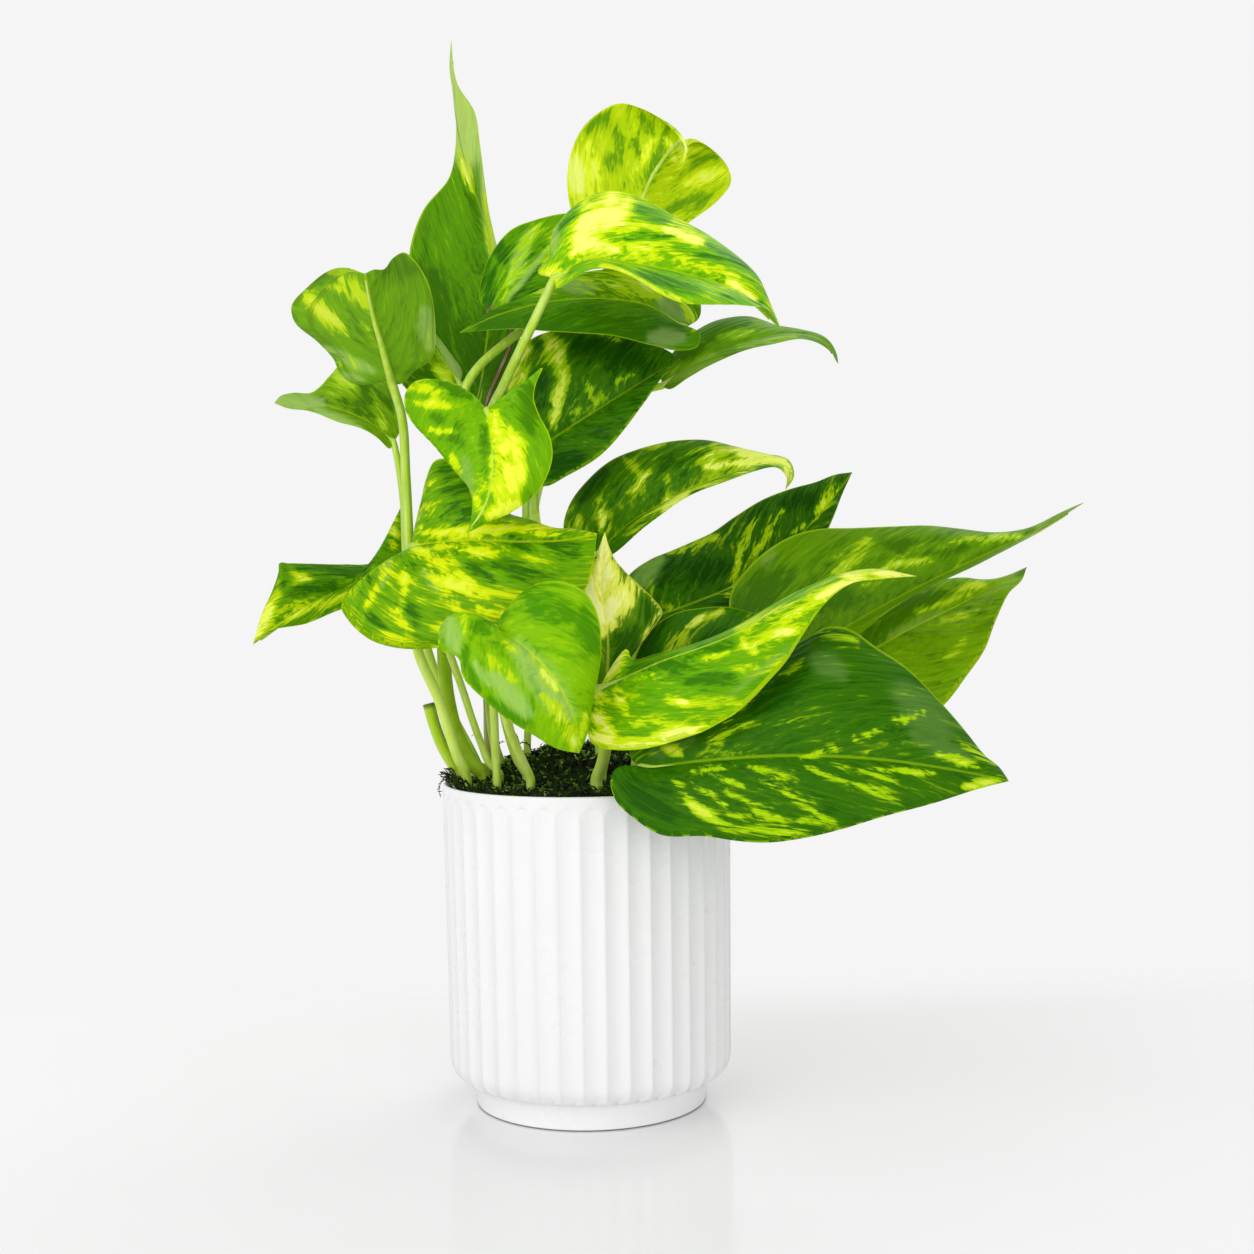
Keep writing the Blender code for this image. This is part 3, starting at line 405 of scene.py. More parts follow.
leaves["leaf_10_hooked"] = dict(
    rib=[(34, 298, 30), (46, 307, 32), (66, 315, 36), (88, 319, 42), (102, 316, 47), (108, 306, 48)],
    left=[(34, 304), (40, 313), (49, 321), (58, 325.5), (70, 326.5), (82, 322.5), (95, 319.5), (103, 316.5),
        (107, 311)],
    right=[(37, 296.5), (45, 301), (55, 307), (64, 310.5), (78, 314), (92, 317), (101, 314), (106.5, 309)],
    lean=(16, -10), arch=(2, 1), foot=(-3, 30), stalkRadius=(2.2, 1.6), streaks=0.1, sweep=1.8, seed=10.0,
    stalk=[(-12, 190, 31), (-18, 232, 36), (-19.5, 256, 40), (-14, 272, 42), (8, 287, 42), (22, 295, 38)],
    colours=dict(green=(101, 151, 4), deep_and_shade=(62, 114, 0), lime=(135, 185, 20), pale_sheen=(150, 188, 70)),
    marks=dict(lime=[(34, 302, 56, 311, 1.3), (66, 314, 90, 318, 1.3), (58, 318, 72, 320, 1.6)],
        pale_sheen=[(34, 299, 60, 309, 1.8)],
        deep_and_shade=[(48, 318, 70, 324, 3), (40, 310, 50, 314, 3)]))
leaves["leaf_11_right_arched"] = dict(
    rib=[(4, 227, 15), (20, 241, 10), (42, 253, 2), (64, 261.5, -8), (80, 265.5, -15), (87, 262, -18),
        (85, 254, -19)],
    left=[(-4, 230), (-8, 239), (-5, 250), (3, 260), (12, 267), (22, 271), (38, 275), (52, 275.5), (66, 272),
        (79, 268.5), (87, 266), (88.5, 259)],
    right=[(8, 226), (14, 229), (27, 240.5), (40, 249), (55, 256), (72, 262), (82, 263), (85.5, 259)],
    lean=(16, -14), arch=(3, 1), foot=(6, 14), stalkRadius=(2.2, 1.7), streaks=0.36, sweep=1.1, seed=11.0,
    stalk=[(5, 170, 16), (3, 205, 17)],
    colours=dict(green=(62, 118, 0), deep_and_shade=(33, 82, 0), lime=(154, 190, 4), cream=(222, 234, 96)),
    marks=dict(cream=[(8, 246, 8, 240, 1.4), (66, 270, 84, 266, 2), (52, 264, 78, 266, 1.6),
            (34, 246, 44, 253, 1.3), (86, 264, 85, 256, 2)],
        lime=[(18, 268, 24, 262, 1.6), (26, 273, 34, 274, 1.2), (8, 250, 9, 238, 2.6),
            (20, 254, 28, 262, 1.4), (-4, 236, -2, 244, 1.8), (56, 272, 84, 266, 3), (44, 264, 66, 273, 1.6),
            (28, 244, 46, 255, 2), (46, 255, 72, 263, 1.6), (18, 236, 30, 246, 1.3),
            (40, 268, 50, 272, 1.4)],
        deep_and_shade=[(34, 264, 48, 270, 3), (0, 252, 10, 262, 3)]))
leaves["leaf_12_right_upper"] = dict(
    rib=[(22, 200, 4), (45, 207, 14), (70, 218, 26), (92, 236, 37), (104, 249, 43), (113.3, 261, 47)],
    left=[(17, 210), (18.5, 218.5), (28, 225.9), (36, 229), (45, 232.4), (54, 236.3), (63, 242.6), (75, 250),
        (86, 254), (98, 257), (106, 260)],
    right=[(26, 193), (45, 190), (65, 197), (85, 210), (98, 228), (105, 242), (109, 252)],
    lean=(18, 1), arch=(2, 2), foot=(25, 8), stalkRadius=(2.3, 1.8), streaks=0.24, sweep=0.8, seed=12.0,
    stalk=[(22, 150, 8), (19, 170, 6), (18.5, 186, 5)],
    colours=dict(green=(46, 100, 0), deep_and_shade=(22, 69, 0), lime=(161, 198, 0), cream=(206, 224, 50),
        pale_sheen=(150, 196, 90)),
    marks=dict(lime=[(60, 210, 65, 224, 1.3), (64, 224, 72, 242, 1.3), (76, 236, 84, 246, 1.1),
            (98, 244, 108, 256, 1.8), (88, 236, 98, 242, 1.1), (36, 228, 56, 235, 1.6),
            (72, 228, 80, 236, 1.0)],
        pale_sheen=[(20, 215, 32, 226, 4.5)],
        deep_and_shade=[(32, 216, 44, 226, 3), (44, 222, 58, 222, 5), (84, 248, 96, 250, 4)]))
leaves["leaf_13_right_long"] = dict(
    rib=[(85, 180, -10), (110, 196, -8), (140, 212, -6), (168, 225, -2), (190, 235, 4), (211, 247, 10)],
    left=[(72, 186), (62, 198), (61.5, 211), (67.5, 220), (77, 228.8), (88, 235), (99, 237.6), (112, 237.6),
        (130, 237.8), (145, 238), (160, 236.5), (175, 234.8), (188, 236), (200, 242)],
    right=[(92, 177), (110, 190), (130, 203.5), (150, 214.5), (170, 224), (185, 231), (197, 239)],
    lean=(16, -16), arch=(3, 0), foot=(34, 0), stalkRadius=(2.6, 2), streaks=0.14, sweep=1.7, seed=13.0,
    stalk=[(44, 150, -2), (62, 168, -8)],
    colours=dict(green=(91, 138, 2), deep_and_shade=(60, 106, 0), lime=(155, 192, 14), pale_sheen=(124, 156, 60)),
    marks=dict(lime=[(120, 232, 106, 220, 2.4), (108, 226, 100, 218, 2), (160, 232, 186, 233, 1.4),
            (130, 222, 146, 224, 1.4), (136, 228, 158, 231, 1.6), (118, 214, 132, 226, 2)],
        pale_sheen=[(124, 198, 172, 222, 3), (192, 236, 211, 248, 3), (76, 222, 80, 230, 2.5)],
        deep_and_shade=[(68, 206, 84, 216, 8), (128, 230, 160, 229, 3), (88, 206, 110, 208, 6)]))
leaves["leaf_14_right_back"] = dict(
    rib=[(112, 181, 18), (135, 194, 26), (160, 206, 35), (186.4, 220.2, 44)],
    left=[(108, 189), (118, 201), (135, 210), (150, 215.2), (159, 216), (167, 215.2), (175.3, 215.8),
        (181, 217.3)],
    right=[(113, 170), (125, 160), (140, 156), (150.5, 162.5), (160.4, 174.5), (168, 185.2), (173.2, 198.5),
        (178.8, 209.5), (184.2, 214.6)],
    lean=(10, -20), arch=(2, 2), foot=(41, 14), stalkRadius=(2.4, 1.9), streaks=0.12, sweep=1.4, seed=14.0,
    stalk=[(58, 155, 14), (85, 170, 16)],
    colours=dict(green=(120, 168, 0), deep_and_shade=(73, 122, 0), lime=(184, 216, 20), pale_sheen=(140, 172, 60)),
    marks=dict(lime=[(140, 202, 162, 209, 1.6), (152, 211, 168, 213, 1.6), (150, 198, 166, 202, 1.3),
            (152, 182, 160, 190, 1.4)],
        pale_sheen=[(128, 192, 150, 202, 1.6)],
        deep_and_shade=[(116, 188, 140, 208, 5), (126, 198, 156, 212, 4), (183, 217, 186, 220, 2.4)]))
leaves["leaf_15_right_curled"] = dict(
    rib=[(6, 172, -52), (30, 182.5, -67), (60, 193, -73), (85, 206, -72), (108, 217, -67), (122, 219, -62),
        (140, 217, -55)],
    left=[(9, 178), (18, 188.5), (20, 184), (30, 186), (60, 196), (78, 205), (95, 214), (108, 219),
        (122, 220.5)],
    right=[(2, 164), (0.8, 154), (1.5, 150.3), (4, 147.8), (9, 146.6), (16, 146), (24, 146.5), (33, 148.4),
        (41, 150.6), (49.5, 153.3), (56, 156.5), (62.6, 160.2), (70, 166.5), (77, 174), (84, 181.8),
        (92, 194), (101, 206), (112, 214), (125, 216)],
    lean=(14, -12), arch=(0, 3), foot=(4, -26), stalkRadius=(2.5, 2), streaks=0.3, sweep=1.5, seed=15.0,
    stalk=[(6.3, 140, -28), (8, 148, -33), (7.5, 162, -43)],
    colours=dict(green=(98, 164, 0), deep_and_shade=(54, 118, 0), lime=(192, 222, 0), cream=(236, 242, 110),
        pale_sheen=(120, 166, 60)),
    marks=dict(cream=[(4, 160, 12, 152, 2), (8, 148, 34, 149, 1.8), (2, 152, 12, 149, 1.6),
            (28, 151, 44, 154.5, 2.2), (98, 209, 116, 217, 1.3), (110, 217, 140, 217, 3),
            (10, 178, 15, 185, 1.2)],
        lime=[(5, 174, 6, 154, 3.6), (34, 151, 50, 156, 1.6), (12, 174, 17, 162, 2), (20, 158, 34, 157, 1.8),
            (34, 168, 42, 166, 1.3), (84, 200, 116, 217, 2.4), (64, 196, 88, 206, 1.6),
            (72, 190, 90, 196, 2), (66, 190, 72, 186, 1.3), (44, 182, 60, 186, 1.3), (9, 177, 17, 187, 3.4),
            (26, 176, 34, 178, 1.4)],
        pale_sheen=[(60, 168, 86, 188, 1.6)],
        deep_and_shade=[(18, 180, 44, 182, 4), (46, 184, 62, 190, 4), (44, 174, 62, 176, 3)]))
leaves["leaf_16_right_big"] = dict(
    rib=[(23, 138, -64), (50, 141, -76), (85, 142.5, -86), (120, 140.5, -92), (150, 136, -93),
        (178, 130, -90)],
    left=[(18, 144), (22, 153), (35, 162), (55, 172), (75, 182), (92, 191), (103, 196.5), (112, 195),
        (122, 188), (135, 179), (150, 163), (160, 151), (168, 141), (174, 136)],
    right=[(13, 139), (10, 134), (12, 125), (20, 117), (31, 110), (50, 109), (62, 107), (75, 106),
        (90, 107.5), (105, 110.5), (125, 116), (145, 121), (165, 127)],
    lean=(22, -10), arch=(5, 3), foot=(25, -28), stalkRadius=(2.8, 2.2), streaks=0.14, sweep=2.0, seed=16.0,
    stalk=[(26, 142, -42), (25, 141, -55)],
    colours=dict(green=(50, 106, 0), deep_and_shade=(30, 84, 0), lime=(160, 204, 0), cream=(206, 222, 60),
        pale_sheen=(92, 134, 56)),
    marks=dict(cream=[(44, 122, 52, 117, 1.3), (33, 147, 39, 144, 2), (160, 128, 172, 130, 1.8)],
        lime=[(36, 134, 46, 122, 1.8), (42, 124, 60, 112, 2), (58, 112, 92, 109, 2), (60, 118, 80, 112, 1.4),
            (68, 138, 88, 132, 1.4), (44, 132, 58, 122, 1.2), (50, 136, 66, 130, 1.1),
            (72, 133, 98, 122, 1.4), (58, 128, 84, 114, 1.3), (84, 126, 104, 114, 1.2),
            (92, 138, 114, 128, 1.3), (104, 139, 130, 131, 1.3), (112, 130, 132, 122, 1.2),
            (88, 116, 108, 111, 1.3), (70, 120, 86, 109, 1.1), (118, 136, 146, 134, 1.2),
            (90, 141, 106, 146, 0.9), (112, 149, 134, 155, 1), (128, 156, 142, 159, 1.1),
            (50, 147, 63, 154, 1.6), (63, 154, 74, 158, 1.2), (58, 158, 72, 168, 1.8),
            (148, 142, 166, 136, 1.3), (156, 148, 172, 138, 1.6), (74, 170, 92, 182, 1.6),
            (96, 196, 116, 190, 1.4), (44, 136, 62, 138, 1.3)],
        pale_sheen=[(138, 150, 160, 140, 4), (29, 145, 44, 151, 4), (134, 168, 150, 150, 9),
            (96, 184, 108, 176, 5)],
        deep_and_shade=[(20, 130, 34, 118, 7), (70, 162, 92, 178, 5)]))
leaves["leaf_17_cream"] = dict(
    rib=[(9, 172, -26), (9.8, 192, -28), (7.6, 215, -30), (9.2, 237.5, -26)],
    left=[(3, 176), (-1, 190), (-3, 206), (-1.2, 217), (2.2, 222), (5.3, 226), (7, 231.5)],
    right=[(14, 177), (21, 187), (27.5, 195.5), (33, 203.7), (29.5, 209), (24.6, 213.9), (18.5, 219.8),
        (13.4, 226), (11, 231.5)],
    lean=(0, 4), arch=(2, 2), foot=(6, -8), stalkRadius=(2.3, 2), streaks=0.1, sweep=1.2, seed=17.0,
    stalk=[(8, 145, -11), (10, 158, -16)],
    colours=dict(green=(80, 132, 2), deep_and_shade=(40, 92, 0), lime=(234, 240, 84), cream=(255, 255, 160)),
    marks=dict(cream=[(8, 236, 9, 226, 4), (8, 222, 9, 206, 8), (3, 218, 5, 206, 5), (15, 214, 13, 206, 5)],
        lime=[(10, 202, 8, 196, 5), (32, 204, 23, 190, 1.2)],
        deep_and_shade=[(26, 208, 29, 198, 4), (20, 196, 16, 184, 5)]))
leaves["leaf_18_front_centre"] = dict(
    rib=[(-37, 198, -66), (-24, 189, -77), (-12, 175, -82), (-5, 160, -81), (-3, 145, -77)],
    left=[(-34, 204), (-28, 211), (-20, 216), (-10, 217), (0, 213), (5.5, 204), (7, 190), (5.5, 178),
        (3, 165), (1, 154)],
    right=[(-43, 200), (-50, 205), (-57, 203), (-61, 196), (-60, 189), (-53, 186), (-51, 178), (-43, 169),
        (-33, 160), (-22, 153), (-12, 147)],
    lean=(10, -3), arch=(3, 3), foot=(-23, -20), stalkRadius=(1.9, 1.7), streaks=0.14, sweep=0.9, seed=18.0,
    stalk=[(-26.2, 141, -22), (-31.4, 154, -28), (-35.5, 170, -40), (-38, 186, -56)],
    colours=dict(green=(124, 182, 2), deep_and_shade=(72, 140, 0), lime=(180, 214, 10), cream=(214, 234, 96),
        pale_sheen=(164, 200, 104)),
    marks=dict(cream=[(-18, 180, -12, 172, 1)],
        lime=[(-22, 186, -12, 172, 1.8), (-11, 160, -4, 149, 2.6), (0, 162, -2, 152, 1.4),
            (-18, 170, -8, 158, 2), (-50, 205, -50, 197, 1.3), (-40, 186, -30, 176, 2),
            (-34, 192, -26, 186, 1.6)],
        pale_sheen=[(-28, 190, -8, 162, 6), (-57, 203, -54, 190, 4), (-38, 178, -24, 162, 4),
            (-46, 184, -40, 174, 1.6)],
        deep_and_shade=[(-24, 212, -6, 204, 6), (0, 206, 3, 188, 4), (-47, 199, -34, 203, 3.5),
            (-48, 194, -50, 184, 1.6), (-50, 184, -44, 172, 1.4), (-40, 168, -26, 158, 2)]))
leaves["leaf_19_wide_left"] = dict(
    rib=[(-71, 233, -20), (-50, 235, -34), (-25, 234, -41), (-6, 234.5, -41), (6, 237, -38)],
    left=[(-70, 240), (-67, 252), (-65, 261), (-61, 268.5), (-52, 268), (-42, 258), (-32, 247), (-22, 243.5),
        (-12, 239.5), (-3, 239)],
    right=[(-84, 223), (-97, 215), (-101, 208), (-98, 202), (-90, 194.5), (-80, 191), (-66, 190), (-52, 192),
        (-38, 197), (-24, 204), (-9, 209.5), (0.5, 213.5), (4, 223)],
    lean=(16, -14), arch=(3, 4), foot=(-36, -2), stalkRadius=(1.5, 1.7), streaks=0.4, sweep=1.5, seed=19.0,
    stalk=[(-40.5, 141, 0), (-44, 150, 2), (-47.4, 160, 1), (-52, 175, 0), (-57, 190, -2), (-64, 213, -6)],
    colours=dict(green=(101, 160, 0), deep_and_shade=(46, 106, 0), lime=(205, 225, 0), cream=(220, 234, 60),
        pale_sheen=(136, 178, 76)),
    marks=dict(cream=[(-58, 219, -48, 214, 1)],
        lime=[(-66, 238, -34, 239, 1.8), (-60, 233, -36, 228, 1.8), (-70, 232, -46, 216, 2),
            (-66, 224, -52, 206, 1.6), (-74, 224, -76, 204, 1.4), (-84, 220, -92, 205, 1.3),
            (-58, 216, -40, 211, 1.6), (-40, 240, -4, 239, 1.3), (-88, 196, -70, 192, 1.4),
            (-64, 198, -52, 200, 1.6), (-44, 206, -30, 204, 1.3), (-80, 208, -72, 196, 1.4),
            (-22, 238, -8, 236, 1.3)],
        pale_sheen=[(-66, 264, -70, 244, 1.6), (-66, 222, -60, 214, 2.4), (-80, 230, -84, 216, 1.8)],
        deep_and_shade=[(-14, 232, -2, 226, 5), (-36, 226, -14, 218, 4), (-56, 262, -48, 246, 7),
            (-94, 212, -84, 198, 3), (-30, 236, -20, 230, 3), (-76, 214, -70, 200, 2.4),
            (-48, 224, -38, 218, 2.4)]))
leaves["leaf_20_left_inner"] = dict(
    rib=[(-50, 300, 26), (-58, 312, 27), (-68, 328, 28), (-76, 340, 30)],
    left=[(-56, 297), (-64, 295.5), (-71, 297), (-76, 304), (-78, 316), (-78, 330)],
    right=[(-49, 305), (-54, 313), (-60, 321.5), (-67, 332)],
    lean=(0, 0), arch=(1, 1), foot=(-27, 30), stalkRadius=(1.8, 1.4), streaks=0.2, sweep=1.2, seed=20.0,
    stalk=[(-31.5, 155, 32), (-35.5, 180, 34), (-42, 230, 36), (-46, 275, 32)],
    colours=dict(green=(118, 163, 0), deep_and_shade=(52, 100, 0), lime=(173, 206, 10), pale_sheen=(150, 176, 110)),
    marks=dict(lime=[(-54, 300, -60, 306, 2)],
        pale_sheen=[(-49, 302, -58, 318, 2.4)],
        deep_and_shade=[(-66, 298, -72, 310, 5), (-62, 300, -66, 322, 3)]))
leaves["leaf_21_right_inner"] = dict(
    rib=[(25, 165, -16), (42, 180, -20), (62, 192, -26), (88, 204, -29)],
    left=[(20, 177), (22, 187), (28.5, 197), (38, 203), (48, 205), (60, 205.5), (73, 202.5)],
    right=[(32, 163), (48, 172), (65, 183), (78, 195)],
    lean=(4, -2), arch=(1, 1), foot=(20, -10), stalkRadius=(2, 1.6), streaks=0.2, sweep=1.2, seed=21.0,
    stalk=[(21, 145, -10), (22, 156, -12)],
    colours=dict(green=(48, 105, 0), deep_and_shade=(29, 78, 0), lime=(156, 184, 20), cream=(206, 220, 90)),
    marks=dict(cream=[(43, 197, 50, 201.5, 1.0)],
        lime=[(34, 184, 42, 195, 2.6), (46, 200, 58, 203.5, 1.2)],
        deep_and_shade=[(48, 190, 64, 196, 3), (20, 180, 28, 194, 4)]))
leaves["leaf_22_left_tip"] = dict(
    rib=[(-80, 222, 9), (-98, 217, 2), (-118, 207, -12), (-138, 193, -28)],
    left=[(-86, 214), (-96, 208.8), (-106, 204.9), (-115.5, 201.6), (-124.5, 199.8), (-131, 198.3),
        (-135.3, 195.8)],
    right=[(-73, 226), (-71, 236), (-75, 249.5), (-79, 240), (-82.5, 231), (-87, 226.5), (-100, 226),
        (-114, 226.2), (-123, 226.4), (-126.4, 226.6), (-126.8, 223), (-129.8, 214.5), (-133.8, 206.5)],
    lean=(-8, 12), arch=(1, 1), foot=(-40, 12), stalkRadius=(1.5, 1.5), streaks=0.36, sweep=1.5, seed=22.0,
    stalk=[(-42.8, 147, 14), (-47.3, 160, 17), (-52, 175, 19), (-58, 188, 21), (-70, 208, 23),
        (-78, 217, 17)],
    colours=dict(green=(88, 146, 0), deep_and_shade=(44, 98, 0), lime=(178, 206, 4), cream=(224, 236, 90)),
    marks=dict(cream=[(-137, 197, -131, 208, 3)],
        lime=[(-132, 203, -108, 209, 2.6), (-127, 214, -130, 208, 2), (-110, 207, -98, 213, 1.8),
            (-119, 221, -114, 220, 1.4), (-78, 244, -79, 232, 1.6)],
        deep_and_shade=[(-118, 224, -90, 223, 3), (-122, 214, -104, 217, 2.4), (-124, 224, -125, 218, 2)]))
leaves["leaf_23_back_left"] = dict(
    rib=[(-30, 240, 58), (-52, 236, 76), (-72, 216, 92), (-84, 196, 98)],
    left=[(-24, 236), (-22, 220), (-34, 204), (-52, 196), (-70, 193)],
    right=[(-30, 246), (-42, 250), (-60, 244), (-76, 228), (-83, 212)],
    lean=(4, -4), arch=(2, 2), foot=(-15, 42), stalkRadius=(2.2, 1.6), streaks=0.4, sweep=1.0, seed=23.0,
    stalk=[(-18, 175, 52), (-24, 220, 62)],
    colours=dict(green=(70, 139, 0), deep_and_shade=(44, 107, 0), lime=(162, 203, 10), cream=(214, 226, 100)),
    marks=dict(cream=[(-34, 222, -48, 208, 2)],
        lime=[(-50, 232, -62, 214, 3)]))
leaves["leaf_24_back_right"] = dict(
    rib=[(30, 205, 60), (40, 188, 82), (46, 166, 98), (46, 150, 102)],
    left=[(38, 208), (56, 202), (66, 186), (62, 168), (52, 154)],
    right=[(24, 206), (14, 196), (14, 178), (24, 162), (36, 152)],
    lean=(-6, -4), arch=(2, 2), foot=(13, 42), stalkRadius=(2.2, 1.6), streaks=0.45, sweep=1.0, seed=24.0,
    stalk=[(16, 165, 48), (24, 195, 56)],
    colours=dict(green=(64, 132, 0), deep_and_shade=(40, 101, 0), lime=(156, 199, 10), cream=(214, 226, 100)),
    marks=dict(cream=[(24, 190, 26, 170, 2)],
        lime=[(50, 194, 56, 176, 3)]))
leaves["leaf_25_back_upper"] = dict(
    rib=[(-8, 282, 62), (0, 292, 74), (10, 300, 84), (20, 306, 90)],
    left=[(-14, 290), (-11, 302), (-2, 311), (8, 312)],
    right=[(-2, 279), (8, 285), (16, 293)],
    lean=(-4, -4), arch=(2, 2), foot=(-2, 46), stalkRadius=(2.1, 1.5), streaks=0.35, sweep=1.0, seed=25.0,
    stalk=[(-8, 165, 50), (-14, 205, 62), (-20, 235, 71), (-21, 256, 71), (-15, 270, 67)],
    colours=dict(green=(77, 145, 0), deep_and_shade=(48, 113, 0), lime=(166, 207, 10), cream=(220, 232, 110)),
    marks=dict(cream=[(0, 284, 4, 266, 2)],
        lime=[(14, 290, 22, 272, 3)]))

# In mm but for the counts. Rows crowd towards the base by rowSpread and columns towards the rib by
# columnSpread. A stalk starts in the soil at foot, comes out of it at top, and goes on under the
# blade up to reach, a share of the rib. There it thins to ribEnd and lies sink deep in the blade.
blade = dict(rows=84, columns=36, rowSpread=1.4, columnSpread=1.25, thickness=0.5, waves=0.5, waveTurns=15,
             groove=0.45, grooveWidth=1.3)
stalkForm = dict(foot=108.6, top=133.0, points=64, reach=0.94, ribPoints=30, ribEnd=0.25, sink=0.35,
                 join=0.08)
markKinds = ("cream", "lime", "pale_sheen", "deep_and_shade")
markFade = 0.65  # how fast a stroke fades beside its line


def slideBack(x, z, depth):  # from the upright plane back along the line of sight
    scale = 1 + depth / eyeAway
    return np.array([x * scale, depth, eyeHeight + (z - eyeHeight) * scale])


def slideAll(points):
    return [slideBack(*point) for point in points]


def travel(points, power=1.0):  # the way gone at each point of a line
    return np.concatenate([[0], np.cumsum(np.linalg.norm(np.diff(points, axis=0), axis=1) ** power)])


def smoothCurve(points, steps):
    points = np.asarray(points, float)
    knots = travel(points, 0.6)
    slopes = np.gradient(points, knots, axis=0)
    fine = np.linspace(0, knots[-1], 400)
    index = np.clip(np.searchsorted(knots, fine, side="right") - 1, 0, len(knots) - 2)
    width = (knots[index + 1] - knots[index])[:, None]
    s = (fine - knots[index])[:, None] / width
    curve = ((2 * s**3 - 3 * s**2 + 1) * points[index] + (s**3 - 2 * s**2 + s) * width * slopes[index]
             + (3 * s**2 - 2 * s**3) * points[index + 1] + (s**3 - s**2) * width * slopes[index + 1])
    length = travel(curve)
    at = np.asarray(steps) * length[-1]
    return np.stack([np.interp(at, length, curve[:, k]) for k in range(points.shape[1])], 1)


def unit(vectors):
    return vectors / np.maximum(np.linalg.norm(vectors, axis=-1, keepdims=True), 1e-9)


def ribLine(leaf, steps):
    return np.array(slideAll(smoothCurve(leaf["rib"], steps)))


# Places, face normals and vein coordinates over the blade. A vein coordinate counts the way
# across the veins, the way out along the vein, and the share of the half blade.
def bladeForm(leaf):
    rows, half = blade["rows"], blade["columns"] // 2
    t = np.linspace(0, 1, rows + 1)
    along = t ** blade["rowSpread"]
    drawn = smoothCurve(leaf["rib"], along)
    rib = ribLine(leaf, along)
    before, after = (ribLine(leaf, np.clip(along + step, 0, 1)) for step in (-0.01, 0.01))
    tangent = unit(after - before)
    travelled = travel(rib)
    start, end = leaf["rib"][0][:2], leaf["rib"][-1][:2]
    grid, veins = np.zeros((2, rows + 1, 2 * half + 1, 3))
    slant = math.hypot(1, leaf["sweep"])
    wave = np.random.RandomState(int(leaf["seed"])).uniform(0, 6.28, 2)
    body = np.abs(np.sin(np.pi * t))
    for side, margin, lean, arch in zip((-1, 1), (leaf["left"], leaf["right"]), leaf["lean"], leaf["arch"]):
        edge = smoothCurve([start, *margin, end], t)
        depth = drawn[:, 2] + lean * body ** 0.6
        across = np.array([slideBack(x, z, y) for (x, z), y in zip(edge, depth)]) - rib
        normal = unit(np.cross(side * across, tangent))
        span = np.linalg.norm(across, axis=1)
        ripple = blade["waves"] * np.sin(t * blade["waveTurns"] + wave[max(side, 0)]) * body
        for column in range(half + 1):
            u = (column / half) ** blade["columnSpread"]
            rise = 4 * arch * u * (1 - u) * body ** 0.8 + ripple * u**3
            rise = rise - blade["groove"] * np.exp(-(u * span / blade["grooveWidth"]) ** 2) * body ** 0.5
            here = half + side * column
            grid[:, here] = rib + across * u + normal * rise[:, None]
            veins[:, here, 0] = (travelled - u * span * leaf["sweep"] * (0.7 + 0.5 * u)) / slant
            veins[:, here, 1] = side * u * span * slant
            veins[:, here, 2] = u
    normals = unit(np.cross(np.gradient(grid, axis=1), np.gradient(grid, axis=0)))
    normals[0], normals[-1] = normals[1], normals[-2]
    return grid, normals, veins, body


# How strongly each place takes the leaf's strokes of this kind: 1 on a stroke's line, fading out
def markField(leaf, kind, places):
    scale = eyeAway / (eyeAway + places[..., 1])
    x, z = places[..., 0] * scale, eyeHeight + (places[..., 2] - eyeHeight) * scale
    field = np.zeros(x.shape)
    for x1, z1, x2, z2, width in leaf["marks"].get(kind, ()):
        run, climb = x2 - x1, z2 - z1
        s = np.clip(((x - x1) * run + (z - z1) * climb) / (run * run + climb * climb), 0, 1)
        gap = np.hypot(x - x1 - s * run, z - z1 - s * climb)
        taper = max(width, 1.1) * (0.6 + 0.4 * np.sin(np.pi * s))
        field = np.maximum(field, np.exp(-markFade * (gap / taper) ** 2))
    return field


# The stalk's line and radii from its foot in the soil, and on as a rib under the blade
def stalkPath(leaf, grid, normals):
    foot = np.array([*leaf["foot"], stalkForm["top"]])
    lower, upper = leaf["stalkRadius"]
    shares = np.linspace(0, stalkForm["reach"], stalkForm["ribPoints"])
    rib = ribLine(leaf, shares)
    count = stalkForm["points"]
    rising = [foot, foot + (0, 0, 4), *slideAll(leaf["stalk"]), rib[0]]
    path = [foot * (1, 1, 0) + (0, 0, stalkForm["foot"]), *smoothCurve(rising, np.linspace(0, 1, count))]
    radii = [lower, *np.linspace(lower, upper, count)]
    t = np.linspace(0, 1, len(grid))
    middle = normals[:, grid.shape[1] // 2]
    for share, point in zip(shares[1:], rib[1:]):
        row = share ** (1 / blade["rowSpread"])
        face = unit(np.array([np.interp(row, t, middle[:, k]) for k in range(3)]))
        radius = leaf.get("underRib", upper * 0.75) * (1 - share) ** 0.8 + stalkForm["ribEnd"]
        sunk = (radius - stalkForm["sink"]) * min(share / stalkForm["join"], 1)
        path.append(point - face * (blade["groove"] + sunk))
        radii.append(radius)
    return np.array(path), np.array(radii)


def addTubes(piece, name, lines, resolution):  # lines: points, radii and material of each tube
    curve = bpy.data.curves.new(name, "CURVE")
    curve.dimensions = "3D"
    curve.bevel_depth = mm
    curve.bevel_resolution = resolution
    curve.use_fill_caps = True
    for path, radii, shade in lines:
        spline = curve.splines.new("POLY")
        spline.points.add(len(path) - 1)
        spline.material_index = shade
        for knot, point, radius in zip(spline.points, path, radii):
            knot.co = (*(point * mm), 1)
            knot.radius = radius
    carrier = bpy.data.objects.new(name, curve)
    mesh = bpy.data.meshes.new_from_object(carrier)
    bpy.data.objects.remove(carrier)
    bpy.data.curves.remove(curve)
    piece.from_mesh(mesh)
    bpy.data.meshes.remove(mesh)


